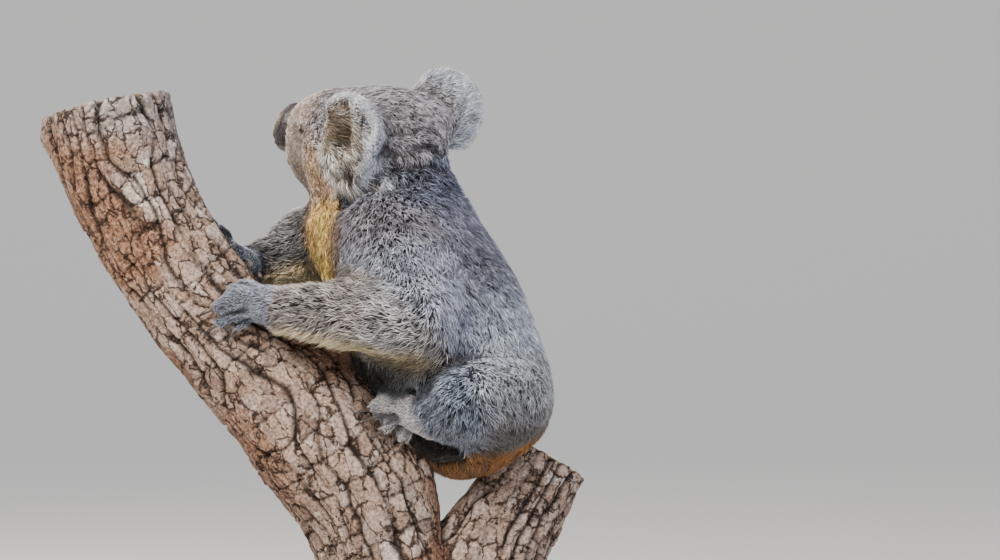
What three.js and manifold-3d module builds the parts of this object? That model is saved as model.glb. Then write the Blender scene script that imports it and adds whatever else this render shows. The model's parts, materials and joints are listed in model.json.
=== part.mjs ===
// A koala clinging to a cut length of forked tree limb, carried by a plain display stand.
// Millimetres, +Z up. The origin is the centre of the base board's underside. The animal's left
// side faces -Y; its back is to +X, and it looks over towards -X and +Y.
import * as THREE from "three";
import { mergeVertices } from "three/addons/utils/BufferGeometryUtils.js";
import Module from "manifold-3d";

const wasm = await Module();
wasm.setup();

// ---------------------------------------------------------------- driving dimensions
const gap = 0.3; // clearance between touching solids
const bodyStep = 24; // grid spacings of the surfaces, finer where the form is small
const headStep = 18;
const earStep = 13.5;
const roundSides = { palm: 8, eye: 9, sleeve: 9, nose: 12 }; // faces round the plain forms
// Edges up to the longest are taken out where the surface moves by less than the slack.
const thinning = { longest: 14, slack: 0.12, smallest: 1e-3 };

const stand = {
  length: 440,
  width: 300,
  thickness: 20,
  corner: 26,
  rodRadius: 13,
  rodSides: 16,
  rods: [
    [-18, 0],
    [62, 4],
  ],
};
const perchFoot = 100; // height of the level cut under the perch

// The main limb: points of its centre line with the limb's radius at each, from the top cut down.
const trunkStations = [
  { at: [-292, 0, 636], radius: 60 },
  { at: [-282, 0, 590], radius: 62 },
  { at: [-246, 0, 508], radius: 58 },
  { at: [-186, 0, 419], radius: 58 },
  { at: [-134, 0, 364], radius: 64 },
  { at: [-76, 0, 304], radius: 77 },
  { at: [-32, 0, 246], radius: 72 },
  { at: [-16, 0, 186], radius: 62 },
  { at: [0, 0, 90], radius: 72 },
];
// The side limb that rises behind the animal's seat from the fork.
const branchStations = [
  { at: [22, 14, 92], radius: 64 },
  { at: [86, 22, 186], radius: 56 },
  { at: [124, 30, 244], radius: 49 },
  { at: [146, 34, 282], radius: 46 },
];
// Long ridges of bark round a limb, with furrows between them that wander along it.
const trunkRidges = { count: 9, height: 2.6, wander: 1.1, rings: 16 };
const branchRidges = { count: 7, height: 2.2, wander: 0.8, rings: 6 };
const knot = { along: 0.06, turn: 0, height: 9, length: 0.05, spread: 0.7 };

// ---------------------------------------------------------------- small vector helpers
const vec = (p) => new THREE.Vector3(...p);
const between = (a, b, t) => a.map((v, i) => v + (b[i] - v) * t);

// ---------------------------------------------------------------- distance fields
// A field takes x, y, z and gives a distance in millimetres, negative inside.
const ball = (c, r) => (x, y, z) => Math.hypot(x - c[0], y - c[1], z - c[2]) - r;

// An ellipsoid with its own axes, given as three unit vectors.
const worldAxes = [
  [1, 0, 0],
  [0, 1, 0],
  [0, 0, 1],
];
function egg(c, radii, axes = worldAxes) {
  return (x, y, z) => {
    const d = [x - c[0], y - c[1], z - c[2]];
    const q = axes.map((a) => a[0] * d[0] + a[1] * d[1] + a[2] * d[2]);
    const k = Math.hypot(q[0] / radii[0], q[1] / radii[1], q[2] / radii[2]);
    const g = Math.hypot(q[0] / radii[0] ** 2, q[1] / radii[1] ** 2, q[2] / radii[2] ** 2);
    return g < 1e-9 ? -Math.min(...radii) : (k * (k - 1)) / g;
  };
}

// A length of limb between two points, tapering from radius ra to rb, with round ends.
function limb(a, b, ra, rb) {
  const d = b.map((v, i) => v - a[i]);
  const span = d[0] ** 2 + d[1] ** 2 + d[2] ** 2;
  return (x, y, z) => {
    const e = [x - a[0], y - a[1], z - a[2]];
    const t = Math.min(1, Math.max(0, (e[0] * d[0] + e[1] * d[1] + e[2] * d[2]) / span));
    return Math.hypot(e[0] - d[0] * t, e[1] - d[1] * t, e[2] - d[2] * t) - (ra + (rb - ra) * t);
  };
}

// Joins fields with a fillet of about that size.
function blend(size, ...fields) {
  return (x, y, z) => {
    let v = fields[0](x, y, z);
    for (const f of fields.slice(1)) {
      const w = f(x, y, z);
      const h = Math.max(size - Math.abs(v - w), 0) / size;
      v = Math.min(v, w) - (h * h * size) / 4;
    }
    return v;
  };
}

// ---------------------------------------------------------------- solids
function solidOf(geometry) {
  const bare = new THREE.BufferGeometry();
  bare.setAttribute("position", geometry.getAttribute("position"));
  if (geometry.index) bare.setIndex(geometry.index);
  const merged = mergeVertices(bare, 1e-4);
  return new wasm.Manifold(
    new wasm.Mesh({
      numProp: 3,
      vertProperties: new Float32Array(merged.attributes.position.array),
      triVerts: new Uint32Array(merged.index.array),
    }),
  );
}

function geometryOf(solid) {
  const mesh = solid.getMesh();
  const positions = new Float32Array(mesh.numVert * 3);
  for (let i = 0; i < mesh.numVert; i++)
    for (let k = 0; k < 3; k++) positions[3 * i + k] = mesh.vertProperties[mesh.numProp * i + k];
  const geometry = new THREE.BufferGeometry();
  geometry.setAttribute("position", new THREE.BufferAttribute(positions, 3));
  geometry.setIndex(thinned(positions, mesh.triVerts));
  geometry.computeVertexNormals();
  partDoubles(positions, geometry.getAttribute("normal"));
  return geometry;
}

// Takes out the ends of short edges where that moves the surface by less than the slack allowed,
// and keeps the surface closed. Returns a list of triangles as corner numbers.
function thinned(points, corners) {
  const at = (i) => new THREE.Vector3().fromArray(points, 3 * i);
  const ring = new Map();
  const triangles = new Set();
  for (let n = 0; n < corners.length; n += 3) {
    const triangle = [...corners.slice(n, n + 3)];
    triangles.add(triangle);
    for (const c of triangle) ring.set(c, (ring.get(c) ?? new Set()).add(triangle));
  }
  const facing = (t) => {
    const [a, b, c] = t.map(at);
    return b.sub(a).cross(c.sub(a));
  };
  const nearTo = (i) => new Set([...ring.get(i)].flat().filter((c) => c !== i));
  const mayMove = (gone, kept) => {
    const shared = [...nearTo(gone)].filter((c) => nearTo(kept).has(c));
    if (shared.length !== 2) return false;
    return [...ring.get(gone)].every((t) => {
      const before = facing(t);
      const off = before.clone().normalize().dot(at(kept).sub(at(gone)));
      if (before.length() > thinning.smallest && Math.abs(off) > thinning.slack) return false;
      if (t.includes(kept)) return true;
      const after = facing(t.map((c) => (c === gone ? kept : c)));
      return after.length() > thinning.smallest && after.normalize().dot(before.normalize()) > 0.5;
    });
  };
  const edges = [...triangles]
    .flatMap((t) => t.map((c, k) => [c, t[(k + 1) % 3]]))
    .map(([a, b]) => ({ a, b, length: at(a).distanceTo(at(b)) }))
    .filter((edge) => edge.length < thinning.longest)
    .sort((one, two) => one.length - two.length);
  for (const { a, b } of edges) {
    if (!ring.has(a) || !ring.has(b) || !nearTo(a).has(b)) continue;
    const [gone, kept] = mayMove(a, b) ? [a, b] : mayMove(b, a) ? [b, a] : [];
    if (gone === undefined) continue;
    for (const t of ring.get(gone)) {
      if (t.includes(kept)) {
        for (const c of t) ring.get(c).delete(t);
        triangles.delete(t);
      } else {
        t[t.indexOf(gone)] = kept;
        ring.get(kept).add(t);
      }
    }
    ring.delete(gone);
  }
  return [...triangles].flat();
}

// Draws points that coincide, where a surface touches itself, a little way inwards.
function partDoubles(points, normals) {
  const found = new Map();
  for (let i = 0; i < normals.count; i++) {
    if (Math.hypot(normals.getX(i), normals.getY(i), normals.getZ(i)) < 0.5) continue;
    const key = [0, 1, 2].map((c) => Math.round(points[3 * i + c] * 1000)).join();
    found.set(key, [...(found.get(key) ?? []), i]);
  }
  for (const same of [...found.values()].filter((list) => list.length > 1))
    for (const i of same)
      for (let c = 0; c < 3; c++) points[3 * i + c] -= gap * 0.2 * normals.getComponent(i, c);
}

const largest = (solid) =>
  solid.decompose().reduce((a, b) => (a.volume() > b.volume() ? a : b));

// Moves points onto the surface where a field is zero, in two goes of a quarter step at the most.
function settle(positions, field, step) {
  const e = 0.5;
  for (let n = 0; n < positions.length; n += 3)
    for (let round = 0; round < 2; round++) {
      const p = positions.slice(n, n + 3);
      const here = field(...p);
      const slope = [0, 1, 2].map((c) => {
        const q = [...p];
        q[c] += e;
        return (field(...q) - here) / e;
      });
      const steep = Math.max(0.2, slope[0] ** 2 + slope[1] ** 2 + slope[2] ** 2);
      for (let c = 0; c < 3; c++) {
        const move = (-here * slope[c]) / steep;
        positions[n + c] += Math.min(step / 4, Math.max(-step / 4, move));
      }
    }
}

// The closed surface where a field is zero, as quads between the cells of a grid that it crosses.
function surfaceOf(field, low, high, step) {
  const count = low.map((v, i) => Math.ceil((high[i] - v) / step) + 1);
  const place = (i, k) => low[k] + i * step;
  const index = (i, j, k) => i + count[0] * (j + count[1] * k);
  const value = new Float32Array(count[0] * count[1] * count[2]);
  for (let k = 0; k < count[2]; k++)
    for (let j = 0; j < count[1]; j++)
      for (let i = 0; i < count[0]; i++)
        value[index(i, j, k)] = field(place(i, 0), place(j, 1), place(k, 2));

  const corner = [0, 1, 2, 3, 4, 5, 6, 7].map((n) => [n & 1, (n >> 1) & 1, (n >> 2) & 1]);
  const cellVertex = new Map();
  const positions = [];
  for (let k = 0; k < count[2] - 1; k++)
    for (let j = 0; j < count[1] - 1; j++)
      for (let i = 0; i < count[0] - 1; i++) {
        const v = corner.map((c) => value[index(i + c[0], j + c[1], k + c[2])]);
        const sum = [0, 0, 0];
        let crossings = 0;
        for (let a = 0; a < 8; a++)
          for (let axis = 0; axis < 3; axis++) {
            const b = a | (1 << axis);
            if (a === b || v[a] < 0 === v[b] < 0) continue;
            const t = v[a] / (v[a] - v[b]);
            for (let m = 0; m < 3; m++)
              sum[m] += corner[a][m] + (corner[b][m] - corner[a][m]) * t;
            crossings++;
          }
        if (!crossings) continue;
        cellVertex.set(index(i, j, k), positions.length / 3);
        positions.push(
          place(i + sum[0] / crossings, 0),
          place(j + sum[1] / crossings, 1),
          place(k + sum[2] / crossings, 2),
        );
      }

  settle(positions, field, step);

  const apart = (m, n) =>
    Math.hypot(...[0, 1, 2].map((c) => positions[3 * m + c] - positions[3 * n + c]));
  const triangles = [];
  const around = [
    [1, 2],
    [2, 0],
    [0, 1],
  ];
  for (let k = 1; k < count[2] - 1; k++)
    for (let j = 1; j < count[1] - 1; j++)
      for (let i = 1; i < count[0] - 1; i++) {
        const here = value[index(i, j, k)] < 0;
        for (let axis = 0; axis < 3; axis++) {
          const next = [i, j, k];
          next[axis]++;
          if (here === value[index(...next)] < 0) continue;
          const [p, q] = around[axis];
          const cell = (dp, dq) => {
            const c = [i, j, k];
            c[p] -= dp;
            c[q] -= dq;
            return cellVertex.get(index(...c));
          };
          const quad = [cell(1, 1), cell(0, 1), cell(0, 0), cell(1, 0)];
          if (!here) quad.reverse();
          const short = apart(quad[0], quad[2]) <= apart(quad[1], quad[3]);
          const flat = short ? quad : [...quad.slice(1), quad[0]];
          triangles.push(flat[0], flat[1], flat[2], flat[0], flat[2], flat[3]);
        }
      }
  const geometry = new THREE.BufferGeometry();
  geometry.setAttribute("position", new THREE.BufferAttribute(new Float32Array(positions), 3));
  geometry.setIndex(triangles);
  return solidOf(geometry);
}

// A closed tube of round rings along a centre line; radiusAt(share, turn) shapes each ring.
function tube(curve, radiusAt, sides, rings, tilt = new THREE.Vector3(0, 1, 0)) {
  const positions = [];
  for (let r = 0; r <= rings; r++) {
    const share = r / rings;
    const centre = curve.getPoint(share);
    const along = curve.getTangent(share);
    const side = new THREE.Vector3().crossVectors(tilt, along).normalize();
    const up = new THREE.Vector3().crossVectors(along, side);
    for (let s = 0; s < sides; s++) {
      const turn = (2 * Math.PI * s) / sides;
      const radius = radiusAt(share, turn);
      positions.push(
        ...centre
          .clone()
          .addScaledVector(side, radius * Math.cos(turn))
          .addScaledVector(up, radius * Math.sin(turn))
          .toArray(),
      );
    }
  }
  const first = positions.length / 3;
  positions.push(...curve.getPoint(0).toArray(), ...curve.getPoint(1).toArray());
  const triangles = [];
  for (let s = 0; s < sides; s++) {
    const t = (s + 1) % sides;
    for (let r = 0; r < rings; r++) {
      const a = r * sides;
      const b = a + sides;
      triangles.push(a + s, a + t, b + t, a + s, b + t, b + s);
    }
    triangles.push(first, t, s, first + 1, rings * sides + s, rings * sides + t);
  }
  const geometry = new THREE.BufferGeometry();
  geometry.setAttribute("position", new THREE.BufferAttribute(new Float32Array(positions), 3));
  geometry.setIndex(triangles);
  return solidOf(geometry);
}

// ---------------------------------------------------------------- perch
const lineOf = (stations) =>
  new THREE.CatmullRomCurve3(stations.map((s) => vec(s.at)), false, "centripetal");

function radiusOn(stations, share) {
  const place = share * (stations.length - 1);
  const i = Math.min(stations.length - 2, Math.floor(place));
  return THREE.MathUtils.lerp(stations[i].radius, stations[i + 1].radius, place - i);
}

const trunkLine = lineOf(trunkStations);
const branchLine = lineOf(branchStations);

// Slow swellings of the bark round and along a limb, about a twentieth of its radius.
const swelling = (share, turn) =>
  0.028 * Math.sin(3 * turn + 9 * share) + 0.022 * Math.sin(5 * turn - 14 * share + 1);

// Half the ridges' height up on a ridge and down in a furrow: a ring has a corner on each.
const ridge = (ridges, share, turn) =>
  (ridges.height / 2) *
  Math.cos(ridges.count * turn + ridges.wander * Math.sin(ridges.rings * 2.3 * share));

const trunkRadius = (grow) => (share, turn) => {
  const away = Math.atan2(Math.sin(turn - knot.turn), Math.cos(turn - knot.turn));
  const bump =
    knot.height *
    Math.exp(-(((share - knot.along) / knot.length) ** 2) - (away / knot.spread) ** 2);
  const round = radiusOn(trunkStations, share) * (1 + swelling(share, turn));
  return round + bump + ridge(trunkRidges, share, turn) + grow;
};
const branchRadius = (grow) => (share, turn) =>
  radiusOn(branchStations, share) * (1 + swelling(share + 0.4, turn)) +
  ridge(branchRidges, share, turn) +
  grow;

const aboveFoot = (lift) => {
  const block = new THREE.BoxGeometry(1000, 1000, 1000);
  block.translate(0, 0, perchFoot + lift + 500);
  return solidOf(block);
};
const limbOf = (line, radius, ridges, grow) =>
  tube(line, radius(grow), 2 * ridges.count, ridges.rings).intersect(aboveFoot(-grow));
const trunkOf = (grow) => limbOf(trunkLine, trunkRadius, trunkRidges, grow);
const branchOf = (grow) => limbOf(branchLine, branchRadius, branchRidges, grow);

const trunk = trunkOf(0);
const branch = largest(branchOf(0).subtract(trunkOf(gap)));

// The point lift above the main limb's bark, at the given mm down the limb and mm round it from
// a place [share of its length, degrees round it]. 180 degrees faces the animal, 90 its right.
function onBark(place, down, round, lift) {
  const pace = trunkLine.getPoint(place[0]).distanceTo(trunkLine.getPoint(place[0] + 0.01)) / 0.01;
  const share = place[0] + down / pace;
  const turn = THREE.MathUtils.degToRad(place[1]) + round / radiusOn(trunkStations, share);
  const along = trunkLine.getTangent(share);
  const side = new THREE.Vector3().crossVectors(vec([0, 1, 0]), along).normalize();
  const up = new THREE.Vector3().crossVectors(along, side);
  const radius = trunkRadius(lift)(share, turn);
  return trunkLine
    .getPoint(share)
    .addScaledVector(side, radius * Math.cos(turn))
    .addScaledVector(up, radius * Math.sin(turn))
    .toArray();
}

// ---------------------------------------------------------------- head frame
const headMid = [-1, 5, 616]; // halfway between the ears
const headForward = vec([-0.795, 0.606, 0]).normalize();
const headLeft = vec([-0.595, -0.78, -0.21]).normalize();
const headUp = new THREE.Vector3().crossVectors(headForward, headLeft).normalize();
const headBasis = [headForward, headLeft, headUp];
const headAxes = headBasis.map((v) => v.toArray());
const onHead = (forward, left, up) =>
  vec(headMid)
    .addScaledVector(headForward, forward)
    .addScaledVector(headLeft, left)
    .addScaledVector(headUp, up)
    .toArray();

// ---------------------------------------------------------------- joints of the animal
const spine = {
  chest: [0, 6, 492],
  belly: [38, 0, 410],
  rump: [86, 0, 342],
  seat: [60, 0, 314],
};
// Arms and legs. palm and sole are places on the main limb's bark: a share of its length and
// degrees round it, with the reach of the gripping digits down and round the limb.
const flanks = [
  {
    name: "left",
    side: -1,
    shoulder: [-4, -56, 490],
    elbow: [14, -98, 424],
    wrist: [-120, -80, 434],
    palm: { at: [0.388, 236], thumbs: [0.6, 0.9] },
    hip: [102, -60, 342],
    knee: [74, -104, 343],
    ankle: [36, -68, 322],
    sole: { at: [0.664, 210], thumbs: [1, 1] },
  },
  {
    name: "right",
    side: 1,
    shoulder: [-30, 60, 512],
    elbow: [-92, 98, 494],
    wrist: [-150, 74, 476],
    palm: { at: [0.338, 138], thumbs: [1.15, 0.3] },
    hip: [98, 62, 340],
    knee: [66, 108, 340],
    ankle: [30, 72, 318],
    sole: { at: [0.664, 148], thumbs: [1, 1] },
  },
];
// Digits as [mm down the limb, mm round it away from the animal] from the palm or sole: knuckle,
// pad and claw tip. The first two digits of a hand grip over the top of the limb.
const fingers = [
  { name: "1", knuckle: [-20, -18], pad: [-42, -42], claw: [-54, -56], radius: 8.5 },
  { name: "2", knuckle: [-8, -22], pad: [-22, -46], claw: [-31, -62], radius: 8.5 },
  { name: "3", knuckle: [-10, 2], pad: [-14, 23], claw: [-16, 39], radius: 7.5 },
  { name: "4", knuckle: [1, 6], pad: [-1, 30], claw: [-1, 46], radius: 8 },
  { name: "5", knuckle: [13, 3], pad: [15, 20], claw: [18, 35], radius: 7.5 },
];
const toes = [
  { name: "1", knuckle: [-16, -14], pad: [-34, -26], radius: 9 },
  { name: "2", knuckle: [-11, 4], pad: [-14, 22], claw: [-21, 38], radius: 5.5 },
  { name: "3", knuckle: [-2, 6], pad: [-5, 25], claw: [-11, 41], radius: 5.5 },
  { name: "4", knuckle: [7, 6], pad: [9, 26], claw: [7, 42], radius: 8 },
  { name: "5", knuckle: [14, -2], pad: [27, 12], claw: [31, 28], radius: 9 },
];
const lift = { palm: 17, knuckle: 12, bend: 12, pad: 7.8, clawRoot: 8, clawTop: 10, clawTip: 1.6 };
const palmOfHand = [23, 21, 14]; // radii down the limb, round it and off the bark
const palmOfFoot = [21, 23, 14];
const digitShape = { sides: 6, rings: 2, tip: 0.66, tipFrom: 0.9 };
const claw = { buried: 5, rootRadius: 2.7, tipRadius: 0.7, sides: 5, rings: 3 };

// ---------------------------------------------------------------- coat surface
// Field a with field b taken out of it, the edge rounded by about that size.
const without = (size, a, b) => {
  const joined = blend(size, (x, y, z) => -a(x, y, z), b);
  return (x, y, z) => -joined(x, y, z);
};
const chest = egg(spine.chest, [78, 80, 78]);
const belly = egg(spine.belly, [92, 90, 98]);
const rump = blend(20, egg(spine.rump, [68, 82, 66]), egg(spine.seat, [56, 68, 54]));
const throat = limb([-60, 40, 556], [-50, 18, 500], 28, 36);
const neck = blend(30, limb([-18, 14, 588], [-3, 6, 526], 55, 65), throat);

const cranium = egg(onHead(30, 0, -18), [76, 62, 58], headAxes);
const brow = egg(onHead(78, 0, -2), [46, 44, 37], headAxes);
const muzzle = egg(onHead(104, 0, -18), [45, 33, 39], headAxes);
const cheek = (side) => ball(onHead(56, side * 34, -34), 35);
const jaw = ball(onHead(117, 0, -45), 20);
const bridge = limb(onHead(84, 0, 16), onHead(119, 0, 12), 20, 16);
const skull = blend(20, cranium, brow, muzzle, cheek(1), cheek(-1), jaw, bridge);

// An ear is a thick round cup of fur that opens to the side, with longer hair under it.
const earMid = (side) => onHead(-1, side * 76, 7);
function earOf(side) {
  const opening = headLeft.clone().multiplyScalar(side * 0.98).addScaledVector(headForward, 0.2);
  const across = new THREE.Vector3().crossVectors(opening, headUp).normalize();
  const axes = [opening, across, headUp].map((v) => v.toArray());
  const shift = (out, up) =>
    vec(earMid(side)).addScaledVector(opening, out).addScaledVector(headUp, up).toArray();
  const cup = egg(shift(0, 0), [23, 39, 36], axes);
  const fringe = egg(shift(8, -20), [17, 28, 28], axes);
  const hollow = egg(shift(28, 2), [20, 22, 22], axes);
  const root = limb(onHead(-2, side * 44, -4), onHead(-2, side * 71, 4), 27, 25);
  return without(9, blend(12, cup, fringe, root), hollow);
}
const eyeRadius = 8;
const eyeMid = (side) => onHead(93, side * 34, 3);
const nose = { radii: [14, 18, 25], mid: onHead(142, 0, 1) };
const noseOut = headForward.clone().multiplyScalar(0.89).addScaledVector(headUp, 0.455);
const noseUp = new THREE.Vector3().crossVectors(noseOut, headLeft);

const armEnds = [42, 23];
const legEnds = [36, 24];
const upperArm = (s) => limb(s.shoulder, s.elbow, 50, 43);
const forearm = (s) => limb(s.elbow, s.wrist, ...armEnds);
const thigh = (s) => limb(s.hip, s.knee, 47, 38);
const shin = (s) => limb(s.knee, s.ankle, ...legEnds);

const coat = blend(
  14,
  blend(34, blend(26, blend(46, chest, belly, rump), neck), ...flanks.map(upperArm)),
  blend(12, skull, earOf(1), earOf(-1)),
  ...flanks.flatMap((s) => [forearm(s), thigh(s), shin(s)]),
);

// A hand or foot lying on the bark: a palm and its digits, each a tube with a rounded pad.
// The point over a digit's spot, on the side of the limb that this paw holds.
function onPaw(s, place, spot, height) {
  const [down, round] = spot[1] < 0 ? spot.map((v, i) => v * place.thumbs[i]) : spot;
  return vec(onBark(place.at, down, -s.side * round, height));
}
function pawOf(s, place, digits, palmSize, wristEnd, grow) {
  const at = (spot, height) => onPaw(s, place, spot, height);
  const middle = at([0, 0], lift.palm);
  const down = at([10, 0], lift.palm).sub(middle).normalize();
  const away = at([0, 10], lift.palm).sub(middle).normalize();
  const out = new THREE.Vector3().crossVectors(down, away).normalize();
  const sizes = palmSize.map((r) => r + grow);
  const palm = ellipsoid(middle.toArray(), sizes, [down, away, out], roundSides.palm);
  const wristRadius = palmSize[2] + 5 + grow;
  return digits.reduce(
    (paw, digit) => {
      const line = new THREE.CatmullRomCurve3([
        at(digit.knuckle, lift.knuckle),
        at(digit.pad.map((v, i) => (v + digit.knuckle[i]) / 2), lift.bend),
        at(digit.pad, lift.pad),
      ]);
      const radius = (share) =>
        grow + digit.radius * (share < digitShape.tipFrom ? 1.1 - 0.1 * share : digitShape.tip);
      return paw.add(tube(line, radius, digitShape.sides, digitShape.rings, out));
    },
    palm.add(sleeve(wristEnd, middle.toArray(), wristRadius)),
  );
}

// The curved claw of a digit, from inside its pad to a tip just off the bark.
function clawOf(s, place, digit, grow) {
  const at = (share, height) => {
    const spot = between(digit.pad, digit.claw, share);
    return onPaw(s, place, spot, height);
  };
  const reach = vec([...digit.claw, 0]).distanceTo(vec([...digit.pad, 0]));
  const line = new THREE.QuadraticBezierCurve3(
    at(-claw.buried / reach, lift.clawRoot),
    at(0.7, lift.clawTop),
    at(1, lift.clawTip),
  );
  const radius = (share) =>
    THREE.MathUtils.lerp(claw.rootRadius, claw.tipRadius, share ** 1.3) + grow;
  return tube(line, radius, claw.sides, claw.rings, vec([0.3, 0.2, 0.9]));
}

// ---------------------------------------------------------------- cutting tools
// A block whose inner face lies on point and looks against normal.
function blockAt(point, normal, shift, size = [900, 900, 900]) {
  const block = new THREE.BoxGeometry(...size);
  block.translate(0, 0, size[2] / 2 + shift);
  const turn = new THREE.Quaternion().setFromUnitVectors(vec([0, 0, 1]), vec(normal).normalize());
  block.applyQuaternion(turn);
  block.translate(...point);
  return solidOf(block);
}
// The two sides of a solid cut by a plane [point, normal], near side first.
const splitAt = (solid, [point, normal]) => [
  largest(solid.subtract(blockAt(point, normal, -gap / 2))),
  largest(solid.intersect(blockAt(point, normal, gap / 2))),
];
const direction = (a, b) => vec(b).sub(vec(a)).normalize().toArray();
const halfway = (a, b, c) =>
  vec(direction(a, b)).add(vec(direction(b, c))).normalize().toArray();

// A plain round-ended sleeve along a limb, to part it from the body.
function sleeve(a, b, radius) {
  const span = vec(a).distanceTo(vec(b));
  const geometry = new THREE.CapsuleGeometry(radius, span, 2, roundSides.sleeve);
  const turn = new THREE.Quaternion().setFromUnitVectors(vec([0, 1, 0]), vec(direction(a, b)));
  geometry.applyQuaternion(turn);
  geometry.translate(...between(a, b, 0.5));
  return solidOf(geometry);
}

function ellipsoid(mid, radii, axes, sides) {
  const geometry = new THREE.SphereGeometry(1, sides, Math.round(sides * 0.7));
  geometry.scale(...radii);
  geometry.applyMatrix4(new THREE.Matrix4().makeBasis(...axes));
  geometry.translate(...mid);
  return solidOf(geometry);
}

// The part of a field's surface in the box round some points, closed flat at the box's sides.
function surfaceRound(field, points, margin, step) {
  const low = [0, 1, 2].map((c) => Math.min(...points.map((p) => p[c])) - margin);
  const high = [0, 1, 2].map((c) => Math.max(...points.map((p) => p[c])) + margin);
  const boxed = (...p) =>
    Math.max(field(...p), ...p.map((v, c) => Math.max(low[c] - v, v - high[c]) + 1.5 * step));
  return surfaceOf(boxed, low, high.map((v) => v + step), step);
}

const perch = trunkOf(gap).add(branchOf(gap));
const offPerch = (solid) => largest(solid.subtract(perch));

// ---------------------------------------------------------------- nodes
const model = new THREE.Group();
const finish = {
  fur: { color: 0x8b8580, roughness: 0.95, metalness: 0 },
  noseSkin: { color: 0x2b2628, roughness: 0.55, metalness: 0 },
  eye: { color: 0x2a1a10, roughness: 0.1, metalness: 0 },
  claw: { color: 0x2c2826, roughness: 0.4, metalness: 0 },
  bark: { color: 0x8a6a52, roughness: 0.95, metalness: 0 },
  board: { color: 0x3a2a20, roughness: 0.5, metalness: 0 },
  steel: { color: 0x55585c, roughness: 0.35, metalness: 1 },
};
function add(name, solid, look) {
  const mesh = new THREE.Mesh(geometryOf(solid), new THREE.MeshStandardMaterial(finish[look]));
  mesh.name = name;
  model.add(mesh);
}

const collar = [[4, 8, 534], [-0.12, 0, 1]]; // planes as a point and a normal
const waist = [[60, 0, 372], [-0.3, 0, 1]];

// The animal's parts are cut from one coat surface. The body is what is left at the end.
const chin = onHead(112, 0, -69);
const headTilt = headForward.clone().multiplyScalar(0.25).addScaledVector(headUp, 0.97).toArray();
const outward = (side) => headLeft.clone().multiplyScalar(side).toArray();
const earCut = (side, shift) =>
  blockAt(onHead(-1, side * 63, 6), outward(side), shift, [112, 112, 100]);

const bodyCorners = [
  [-130, -110, 296],
  [122, 120, 620],
];
const headPoints = [headMid, onHead(110, 0, 0), onHead(0, 60, 0), onHead(0, -60, 0)];
let [, head] = splitAt(surfaceRound(coat, headPoints, 100, headStep), [chin, headTilt]);
let rest = surfaceRound(coat, bodyCorners, 90, bodyStep);
[rest] = splitAt(rest, [chin, headTilt]);

for (const [name, side] of [["left", 1], ["right", -1]]) {
  const eyeball = (radius) =>
    ellipsoid(eyeMid(side), [radius, radius, radius], headBasis, roundSides.eye);
  head = head.subtract(earCut(side, -gap)).subtract(eyeball(eyeRadius + gap + 0.1));
  rest = rest.subtract(earCut(side, -gap));
  const ear = surfaceRound(coat, [earMid(side)], 76, earStep).intersect(earCut(side, 0));
  add("ear_" + name, largest(ear), "fur");
  add("eye_" + name, eyeball(eyeRadius), "eye");
}
const nosePad = (grow) =>
  ellipsoid(nose.mid, nose.radii.map((r) => r + grow), [noseOut, headLeft, noseUp], roundSides.nose);
add("nose", nosePad(0), "noseSkin");
head = head.subtract(nosePad(gap + 0.2));
add("head", largest(head), "fur");

// Parts a limb of two lengths and its paw from the body.
function addLimb(s, names, [root, bend, end], radii, place, digits, palmSize) {
  const sleeves = (grow) =>
    sleeve(root, bend, radii[0] + grow).add(sleeve(bend, end, radii[1] + grow));
  const whole = largest(rest.intersect(sleeves(0)));
  const [upper, beyondBend] = splitAt(whole, [bend, halfway(root, bend, end)]);
  const wrist = [end, direction(bend, end)];
  const [lower] = splitAt(beyondBend, wrist);
  const hold = (grow) => splitAt(pawOf(s, place, digits, palmSize, end, grow), wrist)[1];
  rest = rest.subtract(sleeves(gap)).subtract(hold(gap + 0.5));
  add(names[0] + "_" + s.name, offPerch(upper), "fur");
  add(names[1] + "_" + s.name, offPerch(lower), "fur");
  let paw = offPerch(hold(0));
  for (const digit of digits.filter((d) => d.claw)) {
    paw = paw.subtract(clawOf(s, place, digit, gap));
    add(names[2] + "_claw_" + digit.name + "_" + s.name, clawOf(s, place, digit, 0), "claw");
  }
  add(names[2] + "_" + s.name, largest(paw), "fur");
}

for (const s of flanks) {
  const arm = [s.shoulder, s.elbow, s.wrist];
  addLimb(s, ["upper_arm", "forearm", "hand"], arm, [61, 54], s.palm, fingers, palmOfHand);
  const leg = [s.hip, s.knee, s.ankle];
  addLimb(s, ["thigh", "shin", "foot"], leg, [54, 49], s.sole, toes, palmOfFoot);
}

const [seatPart, upperBody] = splitAt(rest, waist);
const [trunkPart, neckPart] = splitAt(upperBody, collar);
add("neck", neckPart, "fur");
add("torso", offPerch(trunkPart), "fur");
add("rump", offPerch(seatPart), "fur");

// Perch and display stand.
add("perch_trunk", trunk, "bark");
add("perch_branch", branch, "bark");
const outline = new THREE.Shape();
const [halfLength, halfWidth] = [stand.length / 2, stand.width / 2];
[[1, 1], [-1, 1], [-1, -1], [1, -1]].forEach(([x, y], n) => {
  const corner = [x * (halfLength - stand.corner), y * (halfWidth - stand.corner)];
  outline.absarc(...corner, stand.corner, (n * Math.PI) / 2, ((n + 1) * Math.PI) / 2);
});
const board = new THREE.ExtrudeGeometry(outline, {
  depth: stand.thickness,
  bevelEnabled: false,
  curveSegments: 5,
});
add("stand_base", solidOf(board), "board");
stand.rods.forEach(([x, y], n) => {
  const height = perchFoot - stand.thickness - 2 * gap;
  const rod = new THREE.CylinderGeometry(stand.rodRadius, stand.rodRadius, height, stand.rodSides);
  rod.rotateX(Math.PI / 2);
  rod.translate(x, y, stand.thickness + gap + height / 2);
  add("stand_rod_" + (n + 1), solidOf(rod), "steel");
});

export default model;
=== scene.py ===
# A koala clinging to a cut forked limb, as a still life-size model on a plain display stand.
# Metres, +Z up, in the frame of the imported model. The animal's left side faces -Y.
import json
import math

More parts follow.
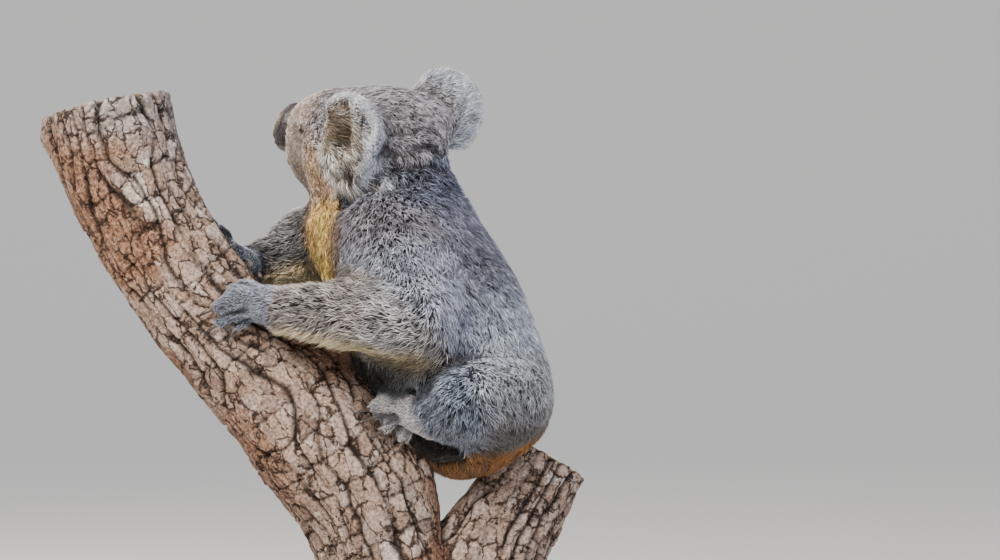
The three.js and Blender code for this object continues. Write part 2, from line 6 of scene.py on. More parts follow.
import bpy
import numpy as np
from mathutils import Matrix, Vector
from mathutils.bvhtree import BVHTree
from mathutils.kdtree import KDTree


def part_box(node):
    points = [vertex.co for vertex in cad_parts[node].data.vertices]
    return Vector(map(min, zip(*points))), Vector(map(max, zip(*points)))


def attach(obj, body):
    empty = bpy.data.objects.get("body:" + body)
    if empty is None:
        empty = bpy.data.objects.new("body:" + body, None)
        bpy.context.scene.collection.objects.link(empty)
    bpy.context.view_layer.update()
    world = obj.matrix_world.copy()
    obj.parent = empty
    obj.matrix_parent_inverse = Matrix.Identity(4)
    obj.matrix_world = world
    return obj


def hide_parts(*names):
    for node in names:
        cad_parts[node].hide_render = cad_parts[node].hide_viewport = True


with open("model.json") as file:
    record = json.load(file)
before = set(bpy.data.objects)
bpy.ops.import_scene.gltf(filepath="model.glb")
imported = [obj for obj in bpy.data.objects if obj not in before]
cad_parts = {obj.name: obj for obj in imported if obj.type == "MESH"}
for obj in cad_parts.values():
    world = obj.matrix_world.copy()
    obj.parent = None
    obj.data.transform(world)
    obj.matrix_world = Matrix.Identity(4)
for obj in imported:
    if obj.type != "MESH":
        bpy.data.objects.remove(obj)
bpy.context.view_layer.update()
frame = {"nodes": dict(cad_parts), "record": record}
nodes = frame["nodes"]
mm = 0.001
circle = 2 * np.pi


def linearColour(hexText):
    values = [int(hexText[i:i + 2], 16) / 255 for i in (1, 3, 5)]
    return [v / 12.92 if v <= 0.04045 else ((v + 0.055) / 1.055) ** 2.4 for v in values] + [1.0]


def rgb(hexText):
    return np.array(linearColour(hexText)[:3])


def unit(v):
    v = np.asarray(v, float)
    return v / np.maximum(np.linalg.norm(v, axis=-1, keepdims=True), 1e-12)


def lengthOf(vectors):
    return np.linalg.norm(vectors, axis=-1)


def smoothStep(low, high, x):
    t = np.clip((x - low) / (high - low), 0, 1)
    return t * t * (3 - 2 * t)


def newMaterial(name):
    material = bpy.data.materials.new(name)
    material.use_nodes = True
    material.node_tree.nodes.clear()
    return material, material.node_tree


# adds a shader node: settings by attribute, inputs by name or number, links as (node, output)
def addNode(tree, kind, inputs=None, **settings):
    node = tree.nodes.new("ShaderNode" + kind)
    for key, value in settings.items():
        setattr(node, key, value)
    for key, value in (inputs or {}).items():
        if isinstance(value, tuple) and isinstance(value[0], bpy.types.Node):
            tree.links.new(value[0].outputs[value[1]], node.inputs[key])
        else:
            node.inputs[key].default_value = value
    return node


# the next few give back a link, to be used as another node's input
def attributeOf(tree, name, output="Fac"):
    return addNode(tree, "Attribute", attribute_name=name), output


def objectPlace(tree):
    return addNode(tree, "TexCoord"), "Object"


def stretched(tree, place, scale):
    return addNode(tree, "Mapping", {"Vector": place, "Scale": scale}), 0


# cloudy noise with features about size millimetres apart
def noiseOf(tree, place, size, detail=2.0, rough=0.5, distortion=0.0):
    return addNode(tree, "TexNoise", {"Vector": place, "Scale": 1 / (size * mm), "Detail": detail,
                                      "Roughness": rough, "Distortion": distortion}), "Fac"


# colours at places along the source's 0 to 1
def rampOf(tree, source, *stops):
    node = addNode(tree, "ValToRGB", {"Fac": source})
    ramp = node.color_ramp
    while len(ramp.elements) < len(stops):
        ramp.elements.new(0.5)
    for element, (place, colour) in zip(ramp.elements, stops):
        element.position = place
        element.color = linearColour(colour)
    return node, 0


def mathOf(tree, operation, one, other):
    return addNode(tree, "Math", {0: one, 1: other}, operation=operation), 0


def mixOf(tree, factor, one, other, blend="MIX"):
    return addNode(tree, "Mix", {"Factor": factor, "A": one, "B": other}, data_type="RGBA",
                   blend_type=blend), 2


def bumpOf(tree, height, strength, millimetres, invert=False):
    return addNode(tree, "Bump", {"Height": height, "Strength": strength,
                                  "Distance": millimetres * mm}, invert=invert), 0


shaderInputs = {
    "specular": "Specular IOR Level", "normal": "Normal", "metallic": "Metallic", "ior": "IOR",
    "sheen": "Sheen Weight", "sheenRoughness": "Sheen Roughness", "coat": "Coat Weight",
    "coatRoughness": "Coat Roughness", "coatIor": "Coat IOR", "glow": "Emission Color",
    "glowStrength": "Emission Strength",
}


def surfaceOf(tree, colour, roughness, **others):
    inputs = {"Base Color": colour, "Roughness": roughness}
    inputs.update({shaderInputs[key]: value for key, value in others.items()})
    shader = addNode(tree, "BsdfPrincipled", inputs)
    addNode(tree, "OutputMaterial", {"Surface": (shader, 0)})


def smoothShaded(mesh):
    mesh.polygons.foreach_set("use_smooth", np.ones(len(mesh.polygons), bool))


def meshObject(name, points, faces, material=None):
    mesh = bpy.data.meshes.new(name)
    points = np.asarray(points, np.float32)
    faces = np.asarray(faces, np.int32)
    sides = faces.shape[1]
    mesh.vertices.add(len(points))
    mesh.vertices.foreach_set("co", points.ravel())
    mesh.loops.add(faces.size)
    mesh.loops.foreach_set("vertex_index", faces.ravel())
    mesh.polygons.add(len(faces))
    mesh.polygons.foreach_set("loop_start", np.arange(0, faces.size, sides, dtype=np.int32))
    smoothShaded(mesh)
    mesh.update(calc_edges=True)
    mesh.validate()
    if material:
        mesh.materials.append(material)
    piece = bpy.data.objects.new(name, mesh)
    bpy.context.scene.collection.objects.link(piece)
    return piece


def listOf(items, key, width, kind=np.float32):
    flat = np.zeros(len(items) * width, kind)
    items.foreach_get(key, flat)
    return flat.reshape(-1, width)


def pointsOf(mesh):
    return listOf(mesh.vertices, "co", 3).astype(float)


def normalsOf(mesh):
    return listOf(mesh.vertices, "normal", 3).astype(float)


def edgesOf(mesh):
    return listOf(mesh.edges, "vertices", 2, np.int32)


def trianglesOf(mesh):
    mesh.calc_loop_triangles()
    return listOf(mesh.loop_triangles, "vertices", 3, np.int32)


def setPoints(mesh, points):
    mesh.vertices.foreach_set("co", np.asarray(points, np.float32).ravel())
    mesh.update()


# points of a tube: round each point of the line, as far out as the ways one and other reach
def tubePoints(line, one, other, around):
    turn = np.linspace(0, circle, around, endpoint=False)[None, :, None]
    return (line[:, None] + one[:, None] * np.cos(turn) + other[:, None] * np.sin(turn)).reshape(-1, 3)


# a tube's four-sided faces; order says which corner is first and which way round they go
def tubeFaces(count, around, closed=False, order=(0, 1, 2, 3)):
    i, j = np.meshgrid(np.arange(count if closed else count - 1), np.arange(around), indexing="ij")
    i, after = i * around, (i + 1) % count * around
    turned = (j + 1) % around
    return np.stack([i + j, after + j, after + turned, i + turned], -1)[..., order].reshape(-1, 4)


def treeOf(points):
    tree = KDTree(len(points))
    for n, p in enumerate(points):
        tree.insert(p, n)
    tree.balance()
    return tree


# spreads values over a mesh: each point moves towards its neighbours' mean by its own share
def relax(values, edges, rounds, share=0.5):
    count = len(values)
    degree = np.bincount(edges.ravel(), minlength=count)[:, None]
    values = values.reshape(count, -1).astype(float)
    share = np.broadcast_to(np.asarray(share, float).reshape(-1, 1), (count, 1))
    for _ in range(rounds):
        total = np.empty_like(values)
        for c in range(values.shape[1]):
            total[:, c] = np.bincount(edges[:, 0], values[edges[:, 1], c], count)
            total[:, c] += np.bincount(edges[:, 1], values[edges[:, 0], c], count)
        values += share * (total / np.maximum(degree, 1) - values)
    return values


# repeatable numbers from 0 to 1 for whole-number cells
def cellRandom(cells, seed):
    c = cells.astype(np.int64)
    h = c[..., 0] * 73856093 ^ c[..., 1] * 19349663 ^ c[..., 2] * 83492791 ^ seed * 2654435761
    h = (h ^ (h >> 13)) * 1274126177 & 0x7FFFFFFF
    return ((h ^ (h >> 16)) % 100003) / 100003


# smooth noise from -1 to 1 with features about size apart
def softNoise(points, size, seed):
    p = points / size
    base = np.floor(p)
    f = p - base
    f = f * f * (3 - 2 * f)
    total = np.zeros(len(points))
    for corner in range(8):
        offset = np.array([corner & 1, corner >> 1 & 1, corner >> 2 & 1])
        weight = np.prod(np.where(offset, f, 1 - f), axis=1)
        total += weight * cellRandom(base + offset, seed)
    return total * 2 - 1


# for scattered spots, the distance to the nearest, its number from 0 to 1 and its place
def clumpNoise(points, seed):
    base = np.floor(points)
    near = np.full(len(points), 9.0)
    tag = np.zeros(len(points))
    place = np.zeros((len(points), 3))
    for offset in np.ndindex(3, 3, 3):
        cell = base + np.array(offset) - 1
        spot = cell + np.stack([cellRandom(cell, seed + n) for n in (1, 2, 3)], 1)
        d = lengthOf(points - spot)
        closer = d < near
        tag = np.where(closer, cellRandom(cell, seed + 4), tag)
        place = np.where(closer[:, None], spot, place)
        near = np.minimum(near, d)
    return near, tag, place


# the object's mesh after its modifiers, as a plain mesh of its own
def bake(piece):
    bpy.context.view_layer.update()
    evaluated = piece.evaluated_get(bpy.context.evaluated_depsgraph_get())
    mesh = bpy.data.meshes.new_from_object(evaluated)
    piece.modifiers.clear()
    piece.data = mesh
    return mesh


def modified(piece, kind, **settings):
    modifier = piece.modifiers.new(kind.lower(), kind)
    for key, value in settings.items():
        setattr(modifier, key, value)
    return bake(piece)


# one mesh from some CAD nodes, each grown a little so that the gaps between them close
def joinedCopy(name, nodeNames, growth=0):
    points, faces, start = [], [], 0
    for nodeName in nodeNames:
        part = bpy.data.objects.new("part", nodes[nodeName].data.copy())
        bpy.context.scene.collection.objects.link(part)
        welded = modified(part, "WELD", merge_threshold=0.02 * mm)
        bpy.data.objects.remove(part)
        points.append(pointsOf(welded) + normalsOf(welded) * growth)
        faces.append(trianglesOf(welded) + start)
        start += len(welded.vertices)
    return meshObject(name, np.concatenate(points), np.concatenate(faces))


def setAttribute(mesh, name, values, kind="FLOAT"):
    attribute = mesh.attributes.new(name, kind, "POINT")
    if kind == "FLOAT_COLOR":
        values = np.hstack([values, np.ones((len(values), 1))])
    key = {"FLOAT": "value", "FLOAT_COLOR": "color", "FLOAT_VECTOR": "vector"}[kind]
    attribute.data.foreach_set(key, values.astype(np.float32).ravel())


def finishPiece(piece, slotName, *replacedNodes):
    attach(piece, "root")
    if replacedNodes:
        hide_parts(*replacedNodes)


def centreOf(nodeName):
    low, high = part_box(nodeName)
    return np.array((low + high) / 2)


# studio: camera, pale floor, soft lights
studioValues = {
    "cameraPlace": (0.100, -3.0, 0.460),
    "focalLength": 108,
    "floorColour": "#cfcdc9",
    "floorGlow": 0.28,
    "floorFront": -9.0,  # metres
    "floorHalfWidth": 11.0,
    "backdropStart": 5.8,
    "backdropBend": 2.2,
    "backdropTop": 8.0,
    "skyColour": "#dfe6f0",
    "skyStrength": 0.74,
    "lightsAimAt": (0.0, 0.0, 0.42),
    "lights": [  # name, place, size in metres, power, colour
        ("key", (-1.1, -1.9, 2.3), 1.5, 162, "#fff6ea"),
        ("fill", (1.9, -1.7, 1.3), 1.8, 44, "#e6eeff"),
        ("rim", (-1.7, 1.3, 1.5), 1.0, 34, "#ffe2b8"),
    ],
}


def makeStudio():
    v = studioValues
    lens = bpy.data.cameras.new("camera")
    lens.lens = v["focalLength"]
    lens.sensor_width = 36
    camera = bpy.data.objects.new("camera", lens)
    camera.location = v["cameraPlace"]
    camera.rotation_euler = (math.radians(90), 0, 0)
    bpy.context.scene.collection.objects.link(camera)
    bpy.context.scene.camera = camera

    # a floor that curves up into a backdrop
    start, bend, wide = v["backdropStart"], v["backdropBend"], v["floorHalfWidth"]
    profile = [(v["floorFront"], 0.0), (start, 0.0)]
    profile += [(start + bend * math.sin(a), bend * (1 - math.cos(a)))
                for a in np.linspace(0, math.pi / 2, 18)[1:]]
    profile += [(start + bend, v["backdropTop"])]
    points = [(x, y, z) for y, z in profile for x in (-wide, wide)]
    faces = [(2 * n, 2 * n + 1, 2 * n + 3, 2 * n + 2) for n in range(len(profile) - 1)]
    # rolled paper: pale, without shine
    paper, tree = newMaterial("mattStudioPaper")
    colour = linearColour(v["floorColour"])
    surfaceOf(tree, colour, 0.9, glow=colour, glowStrength=v["floorGlow"])
    meshObject("floor", points, faces, paper)

    world = bpy.data.worlds.new("world")
    world.use_nodes = True
    sky = world.node_tree.nodes["Background"]
    sky.inputs["Color"].default_value = linearColour(v["skyColour"])
    sky.inputs["Strength"].default_value = v["skyStrength"]
    bpy.context.scene.world = world
    target = Vector(v["lightsAimAt"])
    for name, place, size, power, colour in v["lights"]:
        lamp = bpy.data.lights.new(name, "AREA")
        lamp.shape = "DISK"
        lamp.size = size
        lamp.energy = power
        lamp.color = linearColour(colour)[:3]
        light = bpy.data.objects.new(name, lamp)
        light.location = place
        light.rotation_euler = (target - Vector(place)).to_track_quat("-Z", "Y").to_euler()
        bpy.context.scene.collection.objects.link(light)


makeStudio()
print("studio ready")


# perch: rough plated bark on the main limb and the side limb
barkValues = {
    "voxelSize": 2.15,  # mm
    "strips": 17,  # long ridges of plates round the limb
    "stripWander": 1.1,  # of a strip's width
    "plateLength": [17, 40],  # mm
    "furrowWidth": 4.2,  # mm
    "furrowDepth": 4.2,  # mm
    "crackWidth": 2.2,  # mm
    "crackDepth": 2.4,  # mm
    "plateStep": 1.5,  # mm, from plate to plate
    "ridgeHeight": 1.8,  # mm
    "grainHeight": 0.7,  # mm
    "lift": 1.1,  # mm, so that the whole keeps the solid's size
    "closedShare": 0.3,  # of the cracks between a strip's plates
    "flakeSize": [13, 25],  # mm, round and along the limb
    "flakeCrack": [0.001, 0.105],  # of a flake's width
    "crackColour": "#1b110b",
    "plateColours": ["#8d776a", "#a99588", "#c6b3a7", "#baa18f", "#a08876", "#e0d4cc"],
    "warmColours": ["#714b33", "#b1876a"],
    "topColours": ["#89827f", "#d2cbc8"],
    "woodColours": ["#c9a878", "#9c7a50"],
}


def barkMaterial(name):
    # old eucalypt bark, grown and cracked: dead matt, rough pale plate faces over dark gaps
    v = barkValues
    material, tree = newMaterial(name)
    place = attributeOf(tree, "barkPlace", "Vector")
    speck = noiseOf(tree, place, 3.2, 6.0, 0.74)
    patch = noiseOf(tree, place, 15, 5.0, 0.65)
    ragged = noiseOf(tree, place, 5, 4.0, 0.7)
    moved = place
    for noise, reach in ((patch, 13), (ragged, 6)):
        push = addNode(tree, "VectorMath", {0: (noise[0], "Color"), "Scale": reach * mm}, operation="SCALE")
        moved = addNode(tree, "VectorMath", {0: moved, 1: (push, 0)}, operation="ADD"), 0
    across, along = [1 / (size * mm) for size in v["flakeSize"]]
    flakes = {"Vector": stretched(tree, moved, (across, across, along)), "Scale": 1.0, "Randomness": 1.0}
    gapTo = addNode(tree, "TexVoronoi", flakes, feature="DISTANCE_TO_EDGE")
    flake = addNode(tree, "TexVoronoi", flakes, feature="F1")
    narrow, wide = v["flakeCrack"]
    crackWidth = addNode(tree, "MapRange", {"Value": patch, "From Min": 0.42, "From Max": 0.62,
                                            "To Min": narrow, "To Max": wide})
    offCrack = mathOf(tree, "DIVIDE", (gapTo, "Distance"), (crackWidth, 0))
    crazed = rampOf(tree, offCrack, (0.25, "#3b2c25"), (0.75, "#b3a69e"), (1.0, "#ffffff"))
    flakeTone = addNode(tree, "SeparateColor", {0: (flake, "Color")})
    tone = mathOf(tree, "ADD", attributeOf(tree, "barkTag"), (flakeTone, 0))
    tone = mathOf(tree, "DIVIDE", mathOf(tree, "ADD", tone, patch), 3.0)
    last = len(v["plateColours"]) - 1
    plates = rampOf(tree, tone, *[(0.2 + 0.6 * n / last, c) for n, c in enumerate(v["plateColours"])])

    def between(source, low, high, colours):
        return rampOf(tree, source, (low, colours[0]), (high, colours[1]))

    warmer = mixOf(tree, attributeOf(tree, "barkWarm"), plates, between(speck, 0.35, 0.65, v["warmColours"]))
    greyer = mixOf(tree, attributeOf(tree, "barkTop"), warmer, between(patch, 0.35, 0.65, v["topColours"]))
    fine = rampOf(tree, speck, (0.34, "#43362f"), (0.47, "#bcaea6"), (0.57, "#ffffff"))
    specked = mixOf(tree, 0.8, greyer, fine, "MULTIPLY")
    crackled = mixOf(tree, 0.92, specked, crazed, "MULTIPLY")
    cracked = mixOf(tree, attributeOf(tree, "barkPlate"), linearColour(v["crackColour"]), crackled)
    final = mixOf(tree, attributeOf(tree, "endGrain"), cracked, between(patch, 0.3, 0.7, v["woodColours"]))
    edge = addNode(tree, "MapRange", {"Value": offCrack, "From Max": 1.6, "To Max": 0.9})
    height = mathOf(tree, "ADD", mathOf(tree, "ADD", speck, ragged), (edge, 0))
    surfaceOf(tree, final, 0.9, specular=0.3, normal=bumpOf(tree, height, 1.0, 2.2))
    return material


# a limb's points as if it were straight: across it twice and along it, with the limb's own direction
def straightened(points):
    ends, spacing, slab = 20 * mm, 12 * mm, 8 * mm
    heights = np.arange(points[:, 2].min() + ends, points[:, 2].max() - ends, spacing)
    line = []
    for z in heights:
        ring = points[np.abs(points[:, 2] - z) < slab]
        line.append([*(ring[:, :2].min(0) + ring[:, :2].max(0)) / 2, z])
    line = np.array(line)
    # the middle line is smoothed, and runs on past both ends of the limb
    for _ in range(12):
        line[1:-1] += 0.5 * ((line[:-2] + line[2:]) / 2 - line[1:-1])
    line = np.concatenate([[2 * line[0] - line[4]], line, [2 * line[-1] - line[-5]]])
    along = np.concatenate([[0], np.cumsum(lengthOf(np.diff(line, axis=0)))])
    tangent = unit(np.gradient(line, axis=0))
    nearest = np.empty(len(points), int)
    step = 20000
    for start in range(0, len(points), step):
        block = points[start:start + step]
        nearest[start:start + step] = np.argmin(lengthOf(block[:, None] - line[None]), axis=1)
    t = tangent[nearest]
    offset = points - line[nearest]
    ahead = np.sum(offset * t, axis=1)
    side = unit(np.cross(np.array([0, 1.0, 0]), t))
    front = np.cross(t, side)
    q = np.stack([np.sum(offset * side, 1), np.sum(offset * front, 1), along[nearest] + ahead], 1)
    return q, t


# how far each point is in a furrow between strips and in a crack across one, and its plate's number
def barkPlates(q, seed):
    v = barkValues
    warp = np.stack([softNoise(q, 16 * mm, seed + n) for n in range(3)], 1)
    slow = softNoise(q * np.array([1, 1, 0.6]), 46 * mm, seed + 4)
    turn = np.arctan2(q[:, 1], q[:, 0]) / circle * v["strips"]
    strip = turn + v["stripWander"] * slow + 0.16 * warp[:, 0]
    column = np.floor(strip).astype(int) % v["strips"]
    border = np.round(strip).astype(int) % v["strips"]
    width = circle * np.hypot(q[:, 0], q[:, 1]) / mm / v["strips"]
    toBorder = np.abs(strip - np.round(strip)) * width
    none = np.zeros_like(column)
    along = q[:, 2] / mm + 3.5 * warp[:, 1] + 2 * softNoise(q, 6 * mm, seed + 8)
    fewest, most = v["plateLength"]
    length = fewest + (most - fewest) * cellRandom(np.stack([column, none, none], 1), seed)
    row = along / length + 7 * cellRandom(np.stack([column, none + 3, none], 1), seed)
    line = np.round(row).astype(int)
    toLine = np.abs(row - line) * length
    closed = cellRandom(np.stack([column, line, none + 5], 1), seed) < v["closedShare"]
    place = np.stack([border * 3.0, along / 40, 0 * along], 1)
    openness = smoothStep(-0.55, 0.15, softNoise(place, 1, seed + 6))
    furrow = (1 - smoothStep(0.5, v["furrowWidth"], toBorder)) * (0.3 + 0.7 * openness)
    crack = (1 - smoothStep(0.2, v["crackWidth"], toLine)) * np.where(closed, 0.12, 1.0)
    tag = cellRandom(np.stack([column, np.floor(row).astype(int), none], 1), seed + 3)
    return furrow, crack, tag


def makeBark(nodeName, pieceName, seed):
    v = barkValues
    piece = joinedCopy(pieceName, [nodeName])
    mesh = modified(piece, "REMESH", mode="VOXEL", voxel_size=v["voxelSize"] * mm)
    edges = edgesOf(mesh)
    points = relax(pointsOf(mesh), edges, 5)
    setPoints(mesh, points)
    normals = unit(relax(normalsOf(mesh), edges, 4))
    q, direction = straightened(points)
    low, high = points[:, 2].min(), points[:, 2].max()
    facing = np.abs(np.sum(normals * direction, axis=1))
    level = np.abs(normals[:, 2])
    endGrain = np.maximum(smoothStep(0.8, 0.95, facing) * (points[:, 2] > high - 0.09),
                          smoothStep(0.9, 0.98, level) * (points[:, 2] < low + 0.004))
    furrow, crack, tag = barkPlates(q, seed)
    height = -furrow * v["furrowDepth"] - crack * v["crackDepth"] + (tag - 0.5) * v["plateStep"] + v["lift"]
    height += softNoise(q, 30 * mm, seed + 5) * v["ridgeHeight"]
    height += softNoise(q, 4.5 * mm, seed + 6) * v["grainHeight"]
    points += normals * (height * mm * (1 - endGrain))[:, None]
    setPoints(mesh, points)
    z = points[:, 2]
    # the limb's upper part is paler and greyer, its underside and its fork are warmer
    high = smoothStep(0.40, 0.56, z)
    under = smoothStep(0.0, 0.9, normals @ unit(np.array([-0.7, -0.1, -0.6])))
    inner = smoothStep(0.6, 0.95, normals @ unit(np.array([0.7, -0.15, 0.6]))) * (z < 0.44)
    warm = smoothStep(0.35, 0.95, softNoise(q, 50 * mm, seed + 7) + 0.75 * np.maximum(under, inner) + 0.1)
    grey = smoothStep(0.54, 0.64, z + 0.05 * softNoise(q, 30 * mm, seed + 12)) * (1 - 0.6 * under)
    values = {
        "barkPlate": np.clip(1 - 0.95 * furrow - 0.8 * crack, 0, 1),
        "barkTag": tag * (1 - 0.5 * high) + 0.75 * high,
        "barkWarm": warm * 0.85, "barkTop": grey * 0.8, "endGrain": endGrain,
    }
    for name, value in values.items():
        setAttribute(mesh, name, value)
    setAttribute(mesh, "barkPlace", q, "FLOAT_VECTOR")
    mesh.materials.clear()
    mesh.materials.append(barkMaterial("crackedEucalyptBark_" + pieceName))
    smoothShaded(mesh)
    finishPiece(piece, "bark", nodeName)
    print("bark", pieceName, len(trianglesOf(mesh)), "triangles")


makeBark("perch_trunk", "perchTrunk", 11)
makeBark("perch_branch", "perchBranch", 71)

# display stand: a stained board and two steel rods
standValues = {
    "edgeRound": 2.5,  # mm
    "collarRadius": 20,  # mm
    "collarHeight": 6,  # mm
    "rodEdge": 1,  # mm
    "rodSides": 64,
    "boardColours": ["#2a1b12", "#4a3120"],
    "steelColour": "#b9bbbd",
}


def makeStand():
    v = standValues
    # beech board, stained dark and satin varnished: long grain under a soft sheen
    wood, tree = newMaterial("stainedBeechBoard")
    grain = noiseOf(tree, stretched(tree, objectPlace(tree), (0.08, 1, 1)), 4, 6.0, distortion=0.6)
    tone = rampOf(tree, grain, (0.3, v["boardColours"][0]), (0.7, v["boardColours"][1]))
    surfaceOf(tree, tone, 0.38, normal=bumpOf(tree, grain, 0.15, 0.3))
    board = joinedCopy("standBoard", ["stand_base"])
    board.data.materials.append(wood)
    modified(board, "BEVEL", width=v["edgeRound"] * mm, segments=3, limit_method="ANGLE",
             angle_limit=math.radians(50))
    board.data.set_sharp_from_angle(angle=math.radians(40))
    finishPiece(board, "board", "stand_base")

    # mild steel bar, brushed round: a dull grey shine drawn out along fine rings
    steel, tree = newMaterial("brushedSteelRod")
    brushed = noiseOf(tree, stretched(tree, objectPlace(tree), (0.05, 0.05, 1)), 0.8, 3.0)
    rough = rampOf(tree, brushed, (0.3, "#6a6a6a"), (0.7, "#9a9a9a"))
    surfaceOf(tree, linearColour(v["steelColour"]), rough, metallic=1.0)
    collar, tall, soft = [v[key] * mm for key in ("collarRadius", "collarHeight", "rodEdge")]
    for number in (1, 2):
        # the rod stands in a low collar, with soft edges all round
        nodeName = f"stand_rod_{number}"
        low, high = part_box(nodeName)
        middle = (low + high) / 2
        radius = (high.x - low.x) / 2
        profile = np.array([
            (0, low.z), (collar - soft, low.z), (collar, low.z + soft), (collar, low.z + tall - soft),
            (collar - soft, low.z + tall), (radius + soft, low.z + tall), (radius, low.z + tall + soft),
            (radius, high.z - soft), (radius - soft, high.z), (0, high.z)])
        line = np.stack([0 * profile[:, 0] + middle.x, 0 * profile[:, 0] + middle.y, profile[:, 1]], 1)
        points = tubePoints(line, profile[:, :1] * np.array([1, 0, 0]), profile[:, :1] * np.array([0, 1, 0]),
                            v["rodSides"])
        faces = tubeFaces(len(profile), v["rodSides"], order=(0, 3, 2, 1))
        rod = meshObject(f"standRod{number}", points, faces, steel)
        modified(rod, "WELD", merge_threshold=0.01 * mm)
        rod.data.set_sharp_from_angle(angle=math.radians(35))
        finishPiece(rod, "steel_rod", nodeName)


makeStand()
print("perch and stand ready")

# landmarks of the animal, read from the frame
sidesOf = {"left": 1, "right": -1}
record = frame["record"]
furNodes = [s["node"] for s in record["subparts"] if s["material_slot"] in ("fur", "ear_fur")]


def cloudOf(nodeName):
    mesh = nodes[nodeName].data
    points = pointsOf(mesh)
    return np.concatenate([points, points[trianglesOf(mesh)].mean(1)])


clouds = {name: cloudOf(name) for name in furNodes}


# the middle of where two parts meet
def meeting(one, other):
    tree = treeOf(clouds[other])
    reach = np.array([tree.find(p)[2] for p in clouds[one]])
    return clouds[one][reach <= np.percentile(reach, 12)].mean(0)


eyes = {side: centreOf("eye_" + side) for side in sidesOf}
eyeRadius = (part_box("eye_left")[1].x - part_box("eye_left")[0].x) / 2
noseMid = centreOf("nose")
headLeft = unit(eyes["left"] - eyes["right"])
earsMid = (centreOf("ear_left") + centreOf("ear_right")) / 2
headForward = noseMid - earsMid
headForward = unit(headForward - headLeft * np.dot(headForward, headLeft))
headUp = np.cross(headForward, headLeft)
noseOut = unit(0.89 * headForward + 0.455 * headUp)  # the nose's pad faces a little up
noseAxes = [noseOut, headLeft, np.cross(noseOut, headLeft)]
noseRadii = [16, 20.5, 27.5]  # mm, along the nose's axes
eyesToHeadMid = 93 * mm
headMid = (eyes["left"] + eyes["right"]) / 2 - headForward * eyesToHeadMid


# forward, left and up from the middle of the head, in millimetres
def inHead(points):
    return (points - headMid) @ np.stack([headForward, headLeft, headUp]).T / mm


# how the lids open round an eyeball: half angles in degrees, and how far out they lie
lidValues = {"wide": 56, "high": 40, "cover": 1.0, "brow": 1.8, "sunk": 1.8}  # then mm


def eyeAxes(side):
    gaze = unit(0.62 * headForward + sidesOf[side] * 0.78 * headLeft + 0.06 * headUp)
    upward = unit(headUp - gaze * np.dot(headUp, gaze))
    return [gaze, np.cross(upward, gaze), upward]


# how narrow the almond of an opening is between its middle and its corners
def almond(across):
    return np.sqrt(np.clip(1 - 0.55 * across ** 2, 0.25, 1))


# distance from the eye's middle in metres, and place in the opening: 1 at the lids' edge
def lidPlace(points, side):
    local = (points - eyes[side]) @ np.stack(eyeAxes(side)).T
    reach = lengthOf(local)
    across = np.degrees(np.arctan2(local[:, 1], local[:, 0])) / lidValues["wide"]
    up = np.degrees(np.arcsin(np.clip(local[:, 2] / reach, -1, 1))) / lidValues["high"]
    return reach, np.hypot(across, up / almond(across))


earRoots = {side: meeting("ear_" + side, "head") for side in sidesOf}
earMids = {side: centreOf("ear_" + side) for side in sidesOf}
joints = {}
for side in sidesOf:
    joints[side] = {
        "elbow": meeting("upper_arm_" + side, "forearm_" + side),
        "wrist": meeting("forearm_" + side, "hand_" + side),
        "knee": meeting("thigh_" + side, "shin_" + side),
        "ankle": meeting("shin_" + side, "foot_" + side),
        "fingers": np.mean([centreOf(f"hand_claw_{n}_{side}") for n in (3, 4, 5)], axis=0),
        "toes": np.mean([centreOf(f"foot_claw_{n}_{side}") for n in (2, 3, 4)], axis=0),
    }
neckTop, neckBase = meeting("head", "neck"), meeting("neck", "torso")
waist = meeting("torso", "rump")


# skin: one closed hide under the whole coat
skinValues = {
    "voxelSize": 2.4,  # mm
    "seamGrowth": 0.8,  # mm, closes the gaps between the body's parts
    "coatDepth": {"body": 7.5, "head": 4, "muzzle": 1.0, "paw": 1.0, "ear": 5},  # mm
    "foldDepth": 4.5,  # mm
    "foldWidth": 4.8,  # mm
    "behindNose": 9,  # mm
    "digitSpacing": 15,  # mm between the claws of a paw
    "grooveDepth": 3.2,  # mm
    "pawReach": 30,  # mm from a digit's middle line
    "foldsAt": [-10, 7, 24, 41],  # mm below the head, along the neck
}


# 1 in the grooves between the digits of a paw, and 0 on the digits' backs
def digitGrooves(points):
    groove = np.zeros(len(points))
    for side in sidesOf:
        for heel, ends, claws in (("wrist", "fingers", "hand_claw_"), ("ankle", "toes", "foot_claw_")):
            start = joints[side][heel]
            gaps = []
            for name in [n for n in nodes if n.startswith(claws) and n.endswith(side)]:
                way = centreOf(name) - start
                share = np.clip((points - start) @ way / (way @ way), 0, 1)
                gaps.append(lengthOf(points - start - share[:, None] * way))
            gaps = np.sort(gaps, axis=0)
            reach = lengthOf(points - start) / np.linalg.norm(joints[side][ends] - start)
            between = skinValues["digitSpacing"] * mm * reach
            here = smoothStep(0.5, 0.14, (gaps[1] - gaps[0]) / between)
            here = here * smoothStep(0.38, 0.6, reach) * (gaps[0] < skinValues["pawReach"] * mm)
            groove = np.maximum(groove, here)
    return groove


# the names of the coated solids, and which of them is nearest to each point
def labelPoints(points):
    names = list(clouds)
    every = np.concatenate([clouds[n] for n in names])
    owner = np.concatenate([np.full(len(clouds[n]), i) for i, n in enumerate(names)])
    tree = treeOf(every)
    return names, owner[np.array([tree.find(p)[1] for p in points])]


